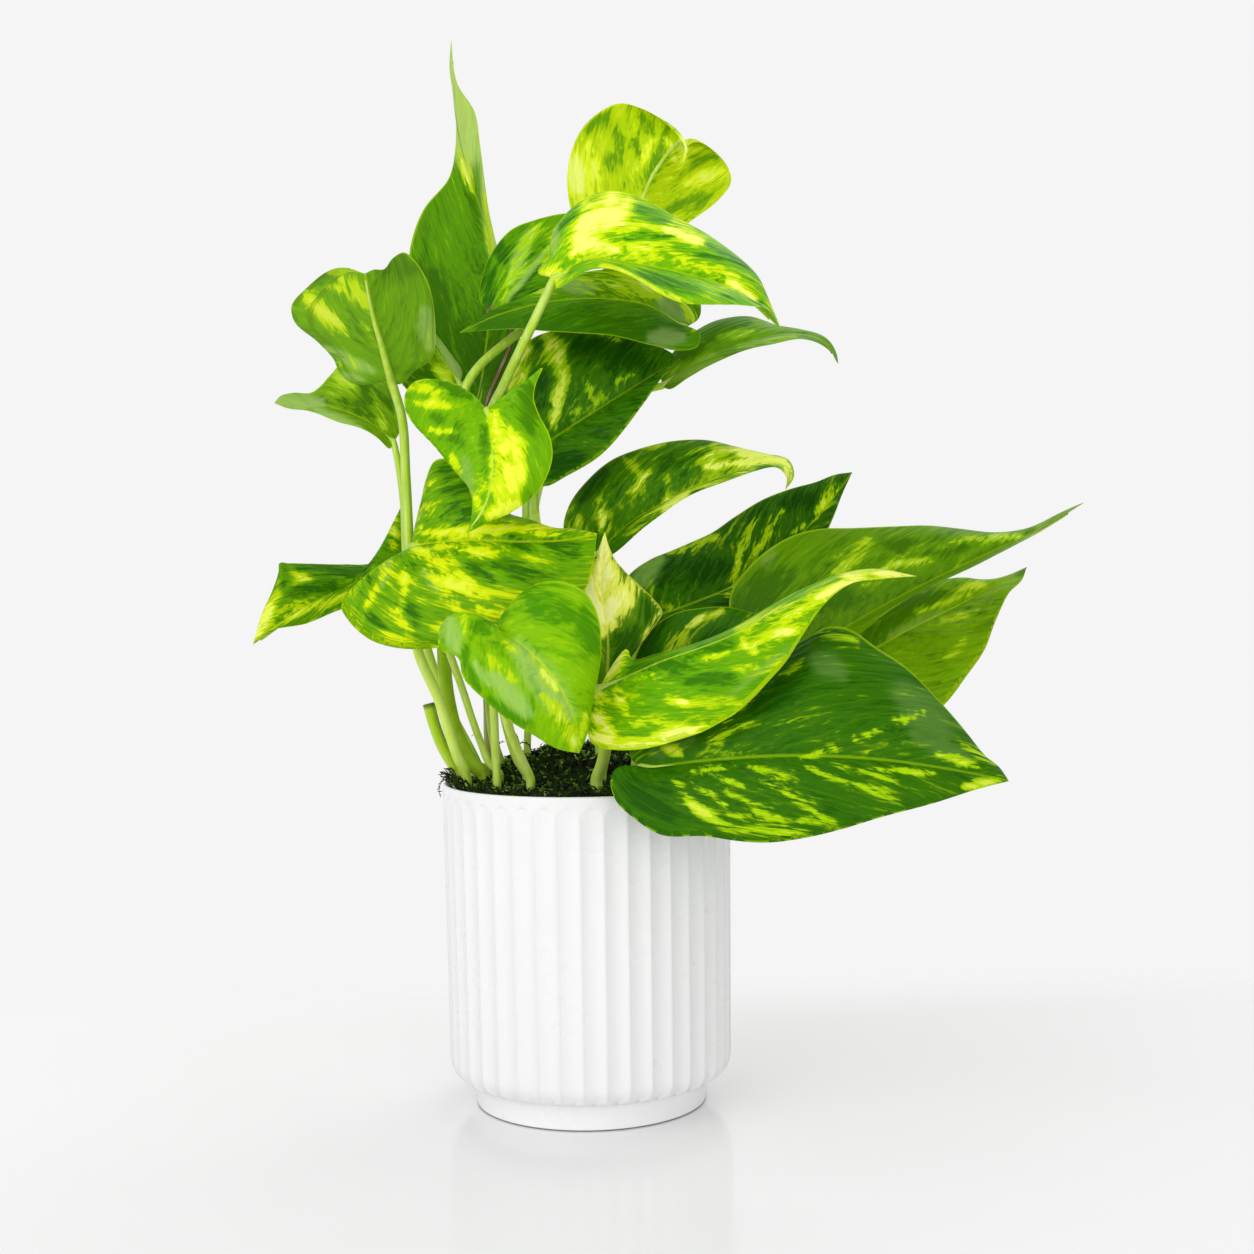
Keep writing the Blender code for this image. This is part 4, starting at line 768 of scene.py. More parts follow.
def addStalk(piece, veinLayer, name, path, radii, slot):
    faces, points = len(piece.faces), len(piece.verts)
    addTubes(piece, name, [(path, radii, 0)], 2)
    piece.verts.ensure_lookup_table()
    piece.faces.ensure_lookup_table()
    travelled = travel(path)
    for vertex in piece.verts[points:]:
        place = np.array(vertex.co) / mm
        nearest = int(np.argmin(((path - place) ** 2).sum(1)))
        side = (place[0] - path[nearest][0]) / radii[nearest]
        vertex[veinLayer] = (travelled[nearest], travelled[-1] - travelled[nearest], side)
    for face in piece.faces[faces:]:
        face.material_index = slot
    bmesh.ops.remove_doubles(piece, verts=piece.verts[points:], dist=weld)


def addLeaf(name, leaf):
    rows, columns = blade["rows"], blade["columns"]
    grid, normals, veins, body = bladeForm(leaf)
    marks = np.stack([markField(leaf, kind, grid) for kind in markKinds], -1)
    thick = blade["thickness"] / 2 * (1 - veins[..., 2:] ** 6) * body[:, None, None] ** 0.3
    piece = bmesh.new()
    veinLayer = piece.verts.layers.float_vector.new("veins")
    markLayer = piece.verts.layers.float_color.new("marks")
    for slot, places in enumerate((grid + normals * thick, grid - normals * thick)):
        made = bmesh.ops.create_grid(piece, x_segments=rows, y_segments=columns, size=1)["verts"]
        for vertex in made:
            row = round((vertex.co.x + 1) / 2 * rows)
            column = round((vertex.co.y + 1) / 2 * columns)
            vertex.co = Vector(places[row, column] * mm)
            vertex[veinLayer] = veins[row, column]
            vertex[markLayer] = marks[row, column]
        faces = list({face for vertex in made for face in vertex.link_faces})
        for face in faces:
            face.material_index = slot
        if slot == 0:
            bmesh.ops.reverse_faces(piece, faces=faces)
    bmesh.ops.remove_doubles(piece, verts=piece.verts, dist=weld)
    for edge in piece.edges:
        edge.smooth = len({face.material_index for face in edge.link_faces}) < 2
    addStalk(piece, veinLayer, name, *stalkPath(leaf, grid, normals), 2)
    finishPiece(name, piece, leafMaterials(name, leaf), [name])


def finishPiece(name, piece, materials, replaced=()):
    for face in piece.faces:
        face.smooth = True
    item = meshObject(name + "_look", piece, materials)
    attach(item, "root")
    if replaced:
        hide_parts(*replaced)


# Leaf finish: where one colour gives way to the next, as the low and high value of a soft step
# and, for some, the share of the new colour at both. veinGap is half the way between two veins.
leafSteps = dict(green=(0.0, 0.32), pale_sheen=(0.15, 1.0, 0.0, 0.6), lime=(0.34, 0.68), cream=(0.76, 1.04),
                 nearRib=(0.3, 1.0, 0.4, 0.0), margin=(0.97, 0.99, 0.0, 0.5), crease=(0.0, 0.7, 1.0, 0.0),
                 minor=(0.0, 0.5, 1.0, 0.0), pillow=(0.0, 2.4, -1.1, 0.0))
veinGap = 2.6


def makePatternGroup():
    inputs = dict(Veins="Vector", Marks="Color", DeepMark="Float", Seed="Float", Slant="Float",
                  Streaks="Float", Green="Color", Deep_And_Shade="Color", Lime="Color", Cream="Color", Pale_Sheen="Color")
    tree, given, out = newGroup("leafPattern", inputs, dict(Colour="Color", Height="Float", Gloss="Float"))
    w, v, u = splitVector(tree, given["Veins"])

    def plus(first, *others):
        for other in others:
            first = calc(tree, "ADD", first, other)
        return first

    def times(first, second):
        return calc(tree, "MULTIPLY", first, second)

    plane = plus(times(calc(tree, "GREATER_THAN", v, 0.0), 7.3), given["Seed"])
    bend = noise(tree, joinVector(tree, times(w, 0.05), times(v, 0.05), given["Seed"]), 1.0, 2.0)
    wiggle = noise(tree, joinVector(tree, times(w, 0.3), times(v, 0.2), plus(plane, 5.5)), 1.0, 2.0)
    w = plus(w, plus(times(calc(tree, "SUBTRACT", bend, 0.5), 9.0), times(wiggle, 2.5)))

    def grain(acrossVein, alongVein, shift, detail, roughness=0.55):  # noise drawn out along the veins
        place = joinVector(tree, times(w, acrossVein), times(v, alongVein), plus(plane, shift))
        return calc(tree, "SUBTRACT", noise(tree, place, 1.0, detail, roughness), 0.5)

    patch = grain(0.1, 0.05, 0.0, 4.0)
    streak = grain(0.42, 0.13, 3.1, 4.0, 0.6)
    thin = grain(1.0, 0.36, 9.7, 3.0)
    rough = plus(times(patch, 1.1), streak, times(thin, 0.65))
    cream, lime, pale_sheen = splitVector(tree, given["Marks"], "ShaderNodeSeparateColor")
    # deep strokes pull the level down towards the deep green: painted shade, as well as dark green patches
    painted = plus(times(lime, 0.38), times(cream, 0.76), times(given["DeepMark"], -0.3))
    busy = plus(0.55, times(given["Streaks"], 1.1), times(plus(lime, cream), 0.8))
    level = plus(0.24, times(given["Streaks"], 0.3), painted, times(rough, busy))
    # pale strokes, broken up by the grain, lay the pale colour on: painted sheen, as well as paler parts
    paleSheenField = plus(pale_sheen, times(rough, 0.5))
    nearRib = calc(tree, "DIVIDE", calc(tree, "ABSOLUTE", v), given["Slant"])
    colour = given["Deep_And_Shade"]
    for dye, value, step in (("Green", level, "green"), ("Pale_Sheen", paleSheenField, "pale_sheen"), ("Lime", level, "lime"),
                             ("Cream", level, "cream"), ("Lime", nearRib, "nearRib"), ("Lime", u, "margin")):
        colour = tint(tree, colour, given[dye], value, *leafSteps[step])
    fromVein = calc(tree, "PINGPONG", w, veinGap)
    crease = softStep(tree, fromVein, *leafSteps["crease"])
    minor = softStep(tree, calc(tree, "PINGPONG", plus(w, 1.4), 0.9), *leafSteps["minor"])
    pillow = softStep(tree, fromVein, *leafSteps["pillow"])
    feed(tree, out["Colour"], blendColour(tree, times(crease, 0.05), colour, given["Lime"]))
    feed(tree, out["Height"], plus(pillow, times(crease, -0.3), times(minor, -0.12),
                                   plus(times(streak, 1.2), times(thin, 0.5))))
    feed(tree, out["Gloss"], plus(0.36, times(streak, 0.35)))
    return tree


leafPattern = makePatternGroup()
bladeFaces = dict(upper=dict(bump=0.4, specular=0.05, lift=0.0),
                  under=dict(bump=0.5, specular=0.04, lift=0.08))
bladeBumpDepth = 0.0005


def mixed(first, second, share):
    return tuple(a + (b - a) * share for a, b in zip(first, second))


def leafMaterials(name, leaf):
    colours = {key: paint(*value) for key, value in leaf["colours"].items()}
    colours.setdefault("cream", mixed(colours["lime"], (1, 1, 0.5, 1), 0.4))
    colours.setdefault("pale_sheen", mixed(colours["green"], (1, 1, 0.6, 1), 0.25))
    made = []
    for face, look in bladeFaces.items():
        material, tree, shader = newMaterial(f"{name}_{face}", specular=look["specular"])
        veins, marks = attribute(tree, "veins")["Vector"], attribute(tree, "marks")
        dye = {key.title(): mixed(value, colours["pale_sheen"], look["lift"]) for key, value in colours.items()}
        pattern = placeGroup(tree, leafPattern, Veins=veins, Marks=marks["Color"], DeepMark=marks["Alpha"],
                             Seed=leaf["seed"], Streaks=leaf["streaks"],
                             Slant=math.hypot(1, leaf["sweep"]), **dye)
        feed(tree, shader["Base Color"], pattern["Colour"])
        addBump(tree, shader, pattern["Height"], look["bump"], bladeBumpDepth, face == "under")
        if face == "upper":
            feed(tree, shader["Roughness"], pattern["Gloss"])
        made.append(material)
    return [*made, stalkMaterials[stalkKinds.get(name, "stalk")]]


# Stalks: smooth, with a painted highlight down the side that faces the light, painted shade down
# the other side, and a darker green near the soil. The third vein coordinate runs from -1 at a
# stalk's left side to 1 at its right side. groove, edges and tip are how strongly a dark line,
# dark sides and a dry cut end show.
stalkLook = {
    "stalk": dict(low=(200, 228, 84), high=(182, 216, 52), streak=(232, 244, 160), dark=(112, 160, 14),
                  groove=0.0, edges=0.35, tip=0.0),
    "vine": dict(low=(176, 214, 20), high=(150, 200, 20), streak=(206, 228, 100), dark=(44, 92, 0),
                 groove=0.9, edges=0.75, tip=0.0),
    "dryStem": dict(low=(186, 180, 134), high=(120, 104, 60), streak=(196, 186, 140), dark=(40, 30, 8),
                    groove=0.0, edges=0.95, tip=0.0),
    "cutStem": dict(low=(166, 200, 10), high=(166, 206, 20), streak=(200, 224, 90), dark=(92, 136, 0),
                    groove=0.0, edges=0.0, tip=0.8),
}
stalkKinds = {"leaf_01_tall_left": "vine", "leaf_07_top_behind": "dryStem"}
stalkWear = dict(cut=(84, 62, 30), footTint=(92, 136, 26), footTintUpTo=(0.130, 0.136), grain=(500, 500, 26))


def makeStalkGroup():
    inputs = dict(Veins="Vector", Place="Vector", Low="Color", High="Color", Streak="Color", Dark="Color",
                  Groove="Float", Edges="Float", Tip="Float")
    tree, given, out = newGroup("stalkPattern", inputs, dict(Colour="Color", Height="Float"))
    cut, footTint = dyes(stalkWear, "cut", "footTint")
    fromFoot, fromTip, side = splitVector(tree, given["Veins"])
    stretched = addNode(tree, "ShaderNodeMapping")
    feed(tree, stretched.inputs["Vector"], given["Place"])
    stretched.inputs["Scale"].default_value = stalkWear["grain"]
    fibre = noise(tree, stretched.outputs[0], 1.0)
    fromLine = calc(tree, "ABSOLUTE", calc(tree, "ADD", side, 0.2))
    streak, dark = given["Streak"], given["Dark"]
    colour = tint(tree, given["Low"], given["High"], fromFoot, 24, 70)
    colour = tint(tree, colour, streak, fibre, 0.4, 0.75, 0.0, 0.45)
    colour = tint(tree, colour, dark, noise(tree, given["Place"], 70, 2.0), 0.45, 0.8, 0.0, 0.4)
    # painted highlight on the left side, which faces the light, and painted shade on the right side
    colour = tint(tree, colour, streak, side, -0.9, -0.1, 0.4, 0.0)
    colour = tint(tree, colour, dark, side, 0.1, 0.95, 0.0, 0.35)
    colour = tint(tree, colour, dark, fromLine, 0.04, 0.28, given["Groove"], 0.0)
    colour = tint(tree, colour, dark, calc(tree, "ABSOLUTE", side), 0.2, 0.8, 0.0, given["Edges"])
    colour = tint(tree, colour, cut, fromTip, 0.4, 2.6, given["Tip"], 0.0)
    height = splitVector(tree, given["Place"])[2]
    # darker green towards the stalk's foot
    feed(tree, out["Colour"], tint(tree, colour, footTint, height, *stalkWear["footTintUpTo"], 0.5, 0.0))
    feed(tree, out["Height"], fibre)
    return tree


stalkPattern = makeStalkGroup()


def makeStalkMaterial(name, look):
    material, tree, shader = newMaterial(name, 0.4, 0.2)
    given = {key.title(): paint(*value) if isinstance(value, tuple) else value for key, value in look.items()}
    pattern = placeGroup(tree, stalkPattern, Veins=attribute(tree, "veins")["Vector"],
                         Place=objectPlace(tree), **given)
    feed(tree, shader["Base Color"], pattern["Colour"])
    addBump(tree, shader, pattern["Height"], 0.15, 0.0003)
    return material


stalkMaterials = {name: makeStalkMaterial(name, look) for name, look in stalkLook.items()}

for leafName, leafPlan in leaves.items():
    addLeaf(leafName, leafPlan)
print("leaves ready:", len(leaves))

stub = dict(foot=(-51, 6), radii=(2.4, 2.6),
            waypoints=[(-55, 140, 8), (-60, 149, 10), (-63.5, 159, 11), (-65.5, 167, 11)])


def addStub():
    foot = np.array([*stub["foot"], stalkForm["top"]])
    bend = smoothCurve([foot, *slideAll(stub["waypoints"])], np.linspace(0, 1, 30))
    path = np.vstack([foot * (1, 1, 0) + (0, 0, stalkForm["foot"]), bend])
    piece = bmesh.new()
    layer = piece.verts.layers.float_vector.new("veins")
    addStalk(piece, layer, "stem_stub", path, np.linspace(*stub["radii"], len(path)), 0)
    finishPiece("stem_stub", piece, [stalkMaterials["cutStem"]], ["stem_stub"])


addStub()
print("stub ready")

# The pot in mm. underside and floor are points of its outline as radius and height, shoulderReach
# is how far the shoulder stands out, and flutes fade in over arch below the band and over footFade.
pot = dict(radius=60.0, height=134.0, lowerRadius=58.8, shoulder=20.0, shoulderReach=7.2, footRadius=49.0,
           footBase=48.0, footHeight=11.5, band=4.5, flutes=40, depth=1.4, steps=16, arch=4.0, fadeIn=9.0,
           footFade=3.0, rim=0.8, inside=56.0, turn=-2.9, underside=[(0, 0.6), (44.0, 0.6), (45.0, 0.0)],
           floor=[(54.4, 24.0), (51.6, 15.0), (46.0, 10.0), (0, 10.0)])


def limited(value):
    return min(max(value, 0), 1)


def turned(outline, steps):  # an outline of radius and height turned about the upright axis
    piece = bmesh.new()
    points = [piece.verts.new((radius * mm, 0, z * mm)) for radius, z in outline]
    edges = [piece.edges.new(pair) for pair in zip(points, points[1:])]
    bmesh.ops.spin(piece, geom=points + edges, axis=(0, 0, 1), cent=(0, 0, 0), angle=2 * math.pi,
                   steps=steps, use_merge=True)
    bmesh.ops.remove_doubles(piece, verts=piece.verts, dist=weld)
    return piece


def fluteDip(angle, height):
    across = 2 * abs((angle * pot["flutes"] / (2 * math.pi)) % 1 - 0.5)
    below = pot["height"] - pot["band"] - height
    fromTop = limited(below / pot["arch"])
    fromEnd = limited((height - pot["footHeight"] - 1.0) / pot["footFade"])
    width = math.sqrt(1 - (1 - fromTop) ** 2) * math.sqrt(1 - (1 - fromEnd) ** 2)
    gentle = 0.3 + 0.7 * limited(below / pot["fadeIn"])
    return pot["depth"] * gentle * max(1 - (across / width) ** 2, 0) if width > 0.02 else 0.0


def potOutline():
    lean = (pot["radius"] - pot["lowerRadius"]) / (pot["height"] - pot["shoulder"])
    foot, rim, top, shoulder = pot["footHeight"], pot["rim"], pot["height"], pot["shoulder"]
    base, neck, bandEnd = pot["footBase"], pot["footRadius"], pot["height"] - pot["band"]
    line = [*pot["underside"], (base - 0.8, 0.0), (base - 0.2, 0.25), (base, 0.8), (neck - 0.1, foot - 1.2),
            (neck + 0.5, foot - 0.2)]
    for angle in np.radians(np.linspace(0, 90, 13)):
        across = pot["lowerRadius"] + pot["shoulderReach"] * (math.sin(angle) - 1)
        line.append((across, shoulder - (shoulder - foot) * math.cos(angle)))
    for z in [*np.linspace(shoulder + 6, bandEnd - pot["arch"], 12),
              *np.linspace(bandEnd - pot["arch"] * 0.92, bandEnd, 12), top - 2.2]:
        line.append((pot["radius"] - lean * (top - z), z))
    for angle in np.radians(np.linspace(0, 180, 9)):
        line.append((pot["radius"] - rim + rim * math.cos(angle), top - rim + rim * math.sin(angle)))
    inner = pot["radius"] - 2 * rim
    line += [(inner - 0.6, top - 2.0), (inner - 1.6, top - 4.0), (pot["inside"], top - 8.0)]
    return line + pot["floor"]


def isFluted(radius, height):  # the outer wall between foot and band, not the inner wall
    between = pot["footHeight"] < height < pot["height"] - pot["band"]
    outside = radius > pot["inside"] - 4.2 and (radius > pot["inside"] + 1 or height < pot["shoulder"])
    return between and outside and not (height > 14.9 and radius < 54.6 + max(height - 24, 0) * 0.02)


def addPot():
    piece = turned(potOutline(), pot["flutes"] * pot["steps"])
    for vertex in piece.verts:
        radius, height = math.hypot(vertex.co.x, vertex.co.y) / mm, vertex.co.z / mm
        if isFluted(radius, height):
            dip = fluteDip(math.atan2(vertex.co.y, vertex.co.x), height)
            vertex.co.x *= 1 - dip / radius
            vertex.co.y *= 1 - dip / radius
    bmesh.ops.rotate(piece, verts=piece.verts, matrix=Matrix.Rotation(math.radians(pot["turn"]), 3, "Z"))
    bmesh.ops.recalc_face_normals(piece, faces=piece.faces)
    finishPiece("pot", piece, [makeGlaze()], ["pot"])


# Glaze: near white, with rare specks, painted shade in thin lines on the ridges between the flutes,
# painted light that makes the foot lighter, and a painted contact shadow along the foot's bottom edge
# Widths and heights are ranges in which a tint fades, heights in metres.
glaze = dict(colour=(236, 236, 236), shade=(235, 235, 235), foot=(246, 246, 246), ridgeShade=(206, 206, 206),
             contactShadow=(120, 118, 112), speck=(96, 92, 86), ridgeShare=0.16, ridgeWidth=(0.03, 0.11),
             ridgeFrom=(0.0125, 0.016), ridgeTo=(0.1245, 0.129), footLightUpTo=(0.0100, 0.0118),
             contactShadowHeight=0.0008, specks=260, rare=0.9985)


def makeGlaze():
    material, tree, shader = newMaterial("whiteGlaze", specular=0.4)
    base, shade, foot, ridgeShadeDye, contactShadowDye, speck = dyes(glaze, "colour", "shade", "foot", "ridgeShade", "contactShadow",
                                                        "speck")
    place = objectPlace(tree)
    cloud = noise(tree, place, 45)
    colour = tint(tree, base, shade, cloud, 0.35, 0.7)
    cells = addNode(tree, "ShaderNodeTexVoronoi")
    feed(tree, cells.inputs["Vector"], place)
    cells.inputs["Scale"].default_value = glaze["specks"]
    dot = softStep(tree, cells.outputs["Distance"], 0.05, 0.09, 1.0, 0.0)
    chance = splitVector(tree, cells.outputs["Color"], "ShaderNodeSeparateColor")[0]
    few = calc(tree, "GREATER_THAN", chance, glaze["rare"])
    colour = blendColour(tree, calc(tree, "MULTIPLY", dot, few), colour, speck)
    east, north, height = splitVector(tree, place)
    # painted shade: a thin darker line along each ridge between the flutes
    angle = calc(tree, "SUBTRACT", calc(tree, "ARCTAN2", north, east), math.radians(pot["turn"]))
    fromRidge = calc(tree, "PINGPONG", calc(tree, "MULTIPLY", angle, pot["flutes"] / (2 * math.pi)), 0.5)
    ridgeShade = softStep(tree, fromRidge, *glaze["ridgeWidth"], glaze["ridgeShare"], 0.0)
    reach = calc(tree, "MULTIPLY", softStep(tree, height, *glaze["ridgeFrom"]),
                 softStep(tree, height, *glaze["ridgeTo"], 1.0, 0.0))
    colour = blendColour(tree, calc(tree, "MULTIPLY", ridgeShade, reach), colour, ridgeShadeDye)
    # painted light: the foot under the shoulder is painted lighter, since it gets less light
    colour = tint(tree, colour, foot, height, *glaze["footLightUpTo"], 1.0, 0.0)
    # painted contact shadow: a dark grey line along the bottom edge of the foot, which is also rougher there
    contactShadow = softStep(tree, height, glaze["contactShadowHeight"] * 0.4, glaze["contactShadowHeight"], 1.0, 0.0)
    feed(tree, shader["Base Color"], blendColour(tree, contactShadow, colour, contactShadowDye))
    feed(tree, shader["Roughness"], calc(tree, "ADD", softStep(tree, cloud, 0.3, 0.7, 0.26, 0.36),
                                         calc(tree, "MULTIPLY", contactShadow, 0.4)))
    addBump(tree, shader, noise(tree, place, 70, 2.0), 0.06, 0.0006)
    return material


addPot()
print("pot ready")

# Soil, seen only in gaps of the moss. The frame's own mesh takes this finish.
soilLook = dict(dark=(20, 22, 10), crumb=(46, 40, 24), bark=(70, 58, 36))


def dressSoil():
    material, tree, shader = newMaterial("pottingSoil", 0.9)
    dark, crumbDye, bark = dyes(soilLook, "dark", "crumb", "bark")
    place = objectPlace(tree)
    crumb = noise(tree, place, 420, 5.0, 0.7)
    colour = tint(tree, dark, crumbDye, crumb, 0.4, 0.65)
    feed(tree, shader["Base Color"], tint(tree, colour, bark, noise(tree, place, 90), 0.6, 0.7))
    addBump(tree, shader, crumb, 1.0, 0.0012)
    for slot in bpy.data.objects["soil"].material_slots:
        slot.material = material


dressSoil()
print("soil ready")

# Moss in mm: a bumpy mat over the soil, fine threads, feathery sprigs and small leaflets. shades
# are the moss materials drawn from, and one named twice comes up twice as often.
moss = dict(seed=11, radius=54.6, edge=129.0, crown=146.0, low=18.0, slope=52.0, bumps=2.2, bumpSize=9.0,
            rings=30, steps=140, weld=1e-7)
threads = dict(count=900, length=(8, 22), climbs=(1.0, 2.0, 4.5), curl=0.5, thickness=(0.14, 0.3),
               shades=(0, 1, 2, 2, 3))
feathers = dict(count=760, length=(5, 11), climb=2.6, curl=0.3, points=7, thickness=0.3, needles=(1.0, 1.9),
                needleThickness=0.26, shades=(0, 1, 1, 1, 3))
leaflets = dict(count=1500, length=(0.9, 2.2), width=(0.4, 0.8), flatness=0.22, cup=0.25, around=5,
                shades=(0, 1, 1, 3))
mossLook = {
    "mossDark": dict(low=(12, 22, 2), high=(50, 74, 14), roughness=0.8),
    "mossGreen": dict(low=(42, 74, 6), high=(120, 164, 34), roughness=0.65),
    "mossBrown": dict(low=(72, 66, 30), high=(166, 158, 96), roughness=0.75),
    "mossPale": dict(low=(104, 140, 40), high=(186, 206, 110), roughness=0.6),
}


def makeMossGroup():
    inputs = dict(Place="Vector", Low="Color", High="Color")
    tree, given, out = newGroup("mossPattern", inputs, dict(Colour="Color", Height="Float"))
    patch = noise(tree, given["Place"], 260, 4.0, 0.6)
    feed(tree, out["Colour"], tint(tree, given["Low"], given["High"], patch, 0.35, 0.68))
    feed(tree, out["Height"], noise(tree, given["Place"], 1500, 2.0))
    return tree


mossPattern = makeMossGroup()


def makeMossMaterial(name, look):
    material, tree, shader = newMaterial(name, look["roughness"], 0.25)
    low, high = dyes(look, "low", "high")
    pattern = placeGroup(tree, mossPattern, Place=objectPlace(tree), Low=low, High=high)
    feed(tree, shader["Base Color"], pattern["Colour"])
    addBump(tree, shader, pattern["Height"], 0.5, 0.0005)
    return material


mossMaterials = [makeMossMaterial(name, look) for name, look in mossLook.items()]


def mossHeight(x, y):  # top of the mat, in mm: low along the front rim, high at the middle and back
    share = min(math.hypot(x, y) / moss["radius"], 1)
    back = limited((y + moss["low"]) / moss["slope"])
    swell = (1 - share**4) * (0.12 + 0.88 * back * back * (3 - 2 * back))
    lump = fractal(Vector((x, y, 3.0)) / moss["bumpSize"], 0.8, 2.1, 4)
    return moss["edge"] + (moss["crown"] - moss["edge"]) * swell + moss["bumps"] * lump * (1 - share**4)


def addMossMat():
    rings, radius, level = moss["rings"], moss["radius"], moss["edge"]
    line = [(radius * ring / rings, level + 1) for ring in range(rings + 1)]
    piece = turned(line + [(radius - 0.6, level - 0.6), (radius - 1.6, level - 0.4)], moss["steps"])
    for vertex in piece.verts:
        if vertex.co.z > level * mm:
            vertex.co.z = mossHeight(vertex.co.x / mm, vertex.co.y / mm) * mm
    openEdges = [edge for edge in piece.edges if edge.is_boundary]
    bmesh.ops.holes_fill(piece, edges=openEdges)
    bmesh.ops.recalc_face_normals(piece, faces=piece.faces)
    finishPiece("moss_mat", piece, [mossMaterials[0]])


def mossPlace(draw, spread=0.97):
    turn = draw.uniform(0, 2 * math.pi)
    away = moss["radius"] * spread * math.sqrt(draw.random())
    return away * math.cos(turn), away * math.sin(turn)


# One wandering stem that starts in the mat and keeps close over it
def mossStem(draw, x, y, length, climb, curl, points=9):
    heading = draw.uniform(0, 2 * math.pi)
    lift = draw.uniform(0.2, 1.0) * climb
    z = mossHeight(x, y) - 1.0
    line = []
    for step in range(points):
        line.append((x, y, z))
        share = step / (points - 1)
        heading += draw.gauss(0, curl)
        x += math.cos(heading) * length / points
        y += math.sin(heading) * length / points
        reach = math.hypot(x, y)
        if reach > moss["radius"] - 0.8:
            x, y = (value * (moss["radius"] - 0.8) / reach for value in (x, y))
        z = mossHeight(x, y) + lift * math.sin(math.pi * (0.15 + 0.8 * share)) + draw.gauss(0, 0.25)
    return np.array(line)


def addMossThreads(name, stems):  # stems: points, thickness at the foot and material of each
    piece = bmesh.new()
    addTubes(piece, name, [(line, thickness * (1 - 0.7 * np.arange(len(line)) / (len(line) - 1)), shade)
                           for line, thickness, shade in stems], 0)
    bmesh.ops.remove_doubles(piece, verts=piece.verts, dist=moss["weld"])
    finishPiece(name, piece, mossMaterials)


def sprigs(draw, line, size, shade):  # short needles in pairs along a stem
    made = []
    for index in range(1, len(line) - 1):
        ahead = unit(line[index + 1] - line[index - 1])
        for side in (-1, 1):
            upwards = np.array([0, 0, draw.uniform(0.0, 0.9)])
            out = unit(np.cross(ahead, (0, 0, 1)) * side + ahead * 0.7 + upwards)
            tip = line[index] + out * size * draw.uniform(0.6, 1.2)
            bow = (line[index] + tip) / 2 + (0, 0, 0.15)
            made.append(([line[index], bow, tip], feathers["needleThickness"], shade))
    return made


# Short sprigs that lie over the rim, thickest at the left where the moss is pushed out. away and
# height are where they leave the mat, brim is the height they bend over.
rimGrowth = dict(count=70, span=(150, 300, 190), away=53.5, height=131.0, brim=134.6)


def rimSprigs(draw):
    made = []
    start, low = rimGrowth["away"], rimGrowth["height"]
    for _ in range(rimGrowth["count"]):
        turn = math.radians(draw.triangular(*rimGrowth["span"]))
        left = max(-math.cos(turn), 0) ** 2
        out, rise = draw.uniform(57.4, 59.0 + 2.4 * left), draw.uniform(0.5, 1.4 + 3.6 * left)
        drift = draw.uniform(-0.09, 0.09)
        line = []
        for share in np.linspace(0, 1, 7):
            away, angle = start + (out - start) * share, turn + drift * share
            z = low + (rimGrowth["brim"] + rise - low) * math.sin(share * 2.0) / math.sin(1.57)
            line.append((away * math.cos(angle), away * math.sin(angle), z))
        shade = draw.choice((1, 1, 2, 3))
        made.append((np.array(line), feathers["thickness"], shade))
        made += sprigs(draw, np.array(line), draw.uniform(0.9, 1.6), shade)
    return made


# Curls over the left rim and dark twigs between the left stalks, drawn as the leaves are
rimCurls = [
    ([(-55, 132, 8), (-58, 136, 4), (-60.5, 138, 0), (-61, 136.5, -2), (-60, 135.6, -3)], 0.36, 3),
    ([(-56, 131, 6), (-59, 135, 2), (-61.2, 133.5, 0), (-61.8, 129.5, -1), (-61.2, 127.6, -1)], 0.34, 3),
    ([(-54, 133, 2), (-57, 138.5, 0), (-59, 139.5, 0), (-58.5, 138, 0)], 0.34, 2),
    ([(-44, 136, 10), (-42, 144, 8), (-43.5, 151, 8), (-46.5, 154, 8), (-48, 153, 8)], 0.45, 2),
    ([(-40, 136, 14), (-38, 146, 12), (-36, 150, 12), (-34, 150.5, 12)], 0.5, 1),
    ([(-32, 138, 16), (-30, 147, 14), (-27, 150, 14), (-24, 149, 14), (-23, 146, 14)], 0.6, 0),
    ([(-30, 138, 12), (-28, 150, 10), (-29.5, 154, 10)], 0.4, 0),
]


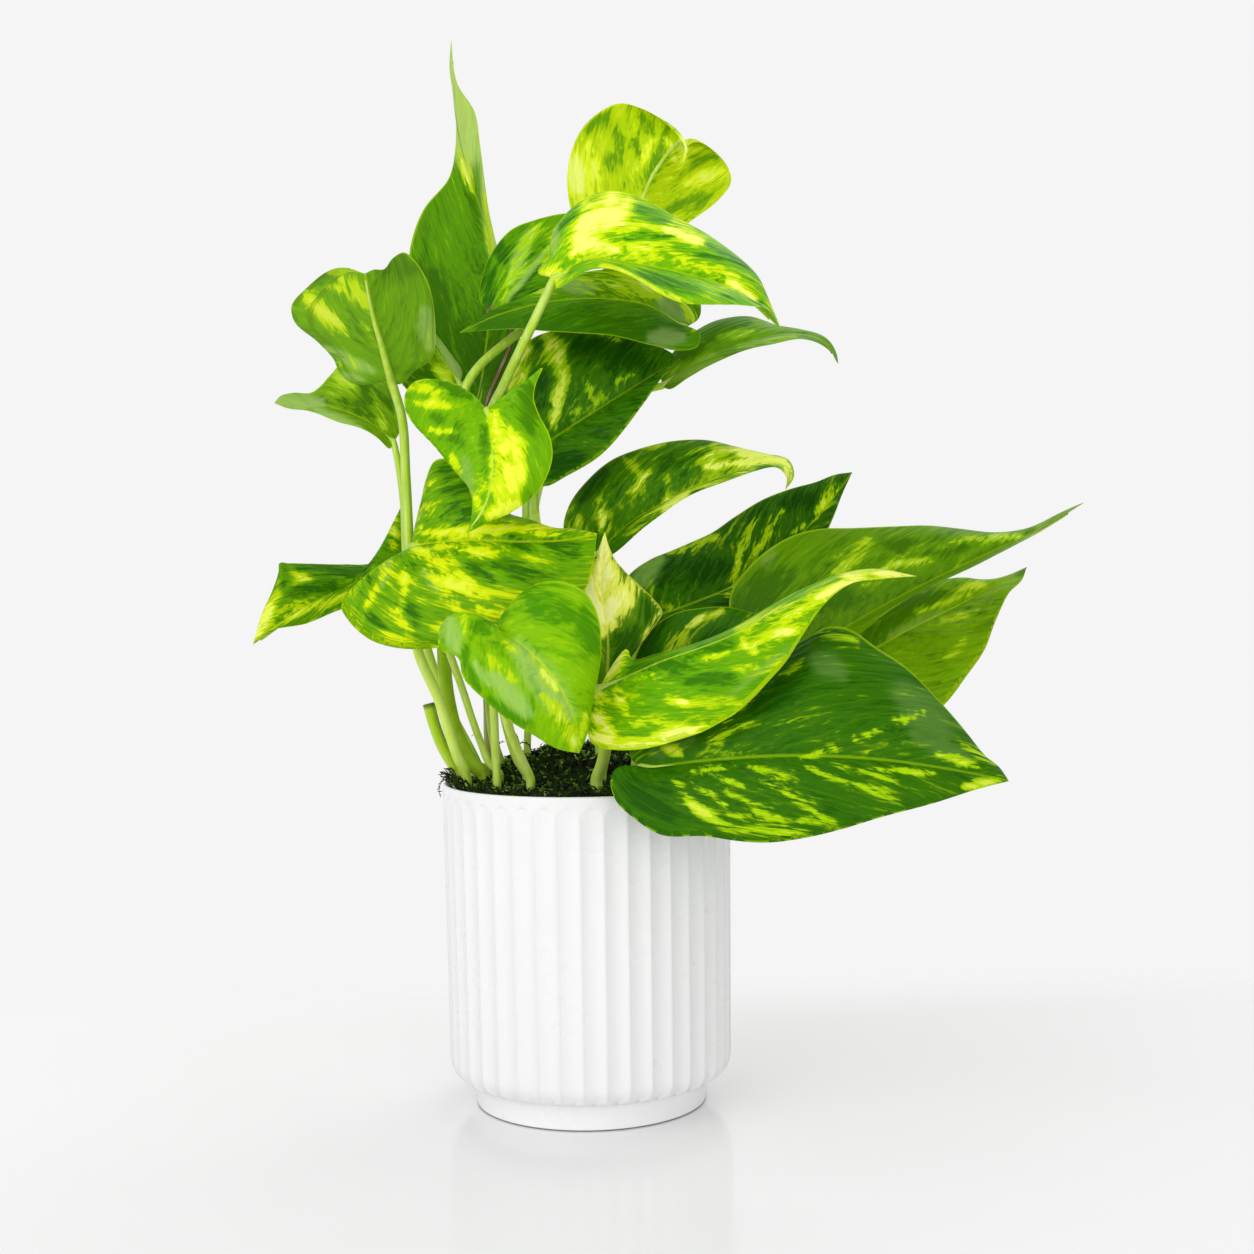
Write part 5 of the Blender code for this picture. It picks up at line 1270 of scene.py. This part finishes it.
def addLeaflets(draw):
    piece = bmesh.new()
    feet = [leaf["foot"] for leaf in leaves.values()]
    for index in range(leaflets["count"]):
        if index % 2:
            foot = draw.choice(feet)
            x, y = foot[0] + draw.gauss(0, leaflets["around"]), foot[1] + draw.gauss(0, leaflets["around"])
            reach = max(math.hypot(x, y) / (moss["radius"] - 1.5), 1)
            x, y = x / reach, y / reach
        else:
            x, y = mossPlace(draw, 0.95)
        length, width = draw.uniform(*leaflets["length"]), draw.uniform(*leaflets["width"])
        made = bmesh.ops.create_icosphere(piece, subdivisions=1, radius=mm)["verts"]
        for vertex in made:
            vertex.co.z = vertex.co.z * leaflets["flatness"] + leaflets["cup"] * vertex.co.x**2 / mm
        turn = Matrix.Rotation(draw.uniform(0, 6.28), 4, "Z") @ Matrix.Rotation(draw.gauss(-0.3, 0.6), 4, "Y")
        size = Matrix.Diagonal((length, width, length, 1))
        shift = Matrix.Translation(Vector((x, y, mossHeight(x, y) + draw.uniform(0, 2.4))) * mm)
        bmesh.ops.transform(piece, matrix=shift @ turn @ size, verts=made)
        shade = draw.choice(leaflets["shades"])
        for face in {face for vertex in made for face in vertex.link_faces}:
            face.material_index = shade
    finishPiece("moss_leaflets", piece, mossMaterials)


def addMoss():
    draw = random.Random(moss["seed"])
    addMossMat()
    stems = []
    for _ in range(threads["count"]):
        x, y = mossPlace(draw)
        length, climb = draw.uniform(*threads["length"]), draw.choice(threads["climbs"])
        line = mossStem(draw, x, y, length, climb, threads["curl"])
        stems.append((line, draw.uniform(*threads["thickness"]), draw.choice(threads["shades"])))
    addMossThreads("moss_threads", stems)
    parts = []
    for _ in range(feathers["count"]):
        x, y = mossPlace(draw)
        length = draw.uniform(*feathers["length"])
        line = mossStem(draw, x, y, length, feathers["climb"], feathers["curl"], feathers["points"])
        shade = draw.choice(feathers["shades"])
        parts.append((line, feathers["thickness"], shade))
        parts += sprigs(draw, line, draw.uniform(*feathers["needles"]), shade)
    parts += rimSprigs(draw)
    for line, thickness, shade in rimCurls:
        points = smoothCurve(slideAll(line), np.linspace(0, 1, 14))
        parts.append((points, thickness, shade))
        if thickness > 0.3:
            parts += sprigs(draw, points, 1.3, shade)
    addMossThreads("moss_sprigs", parts)
    addLeaflets(draw)
    print("moss ready:", len(stems), "threads,", len(parts), "sprig parts")


addMoss()
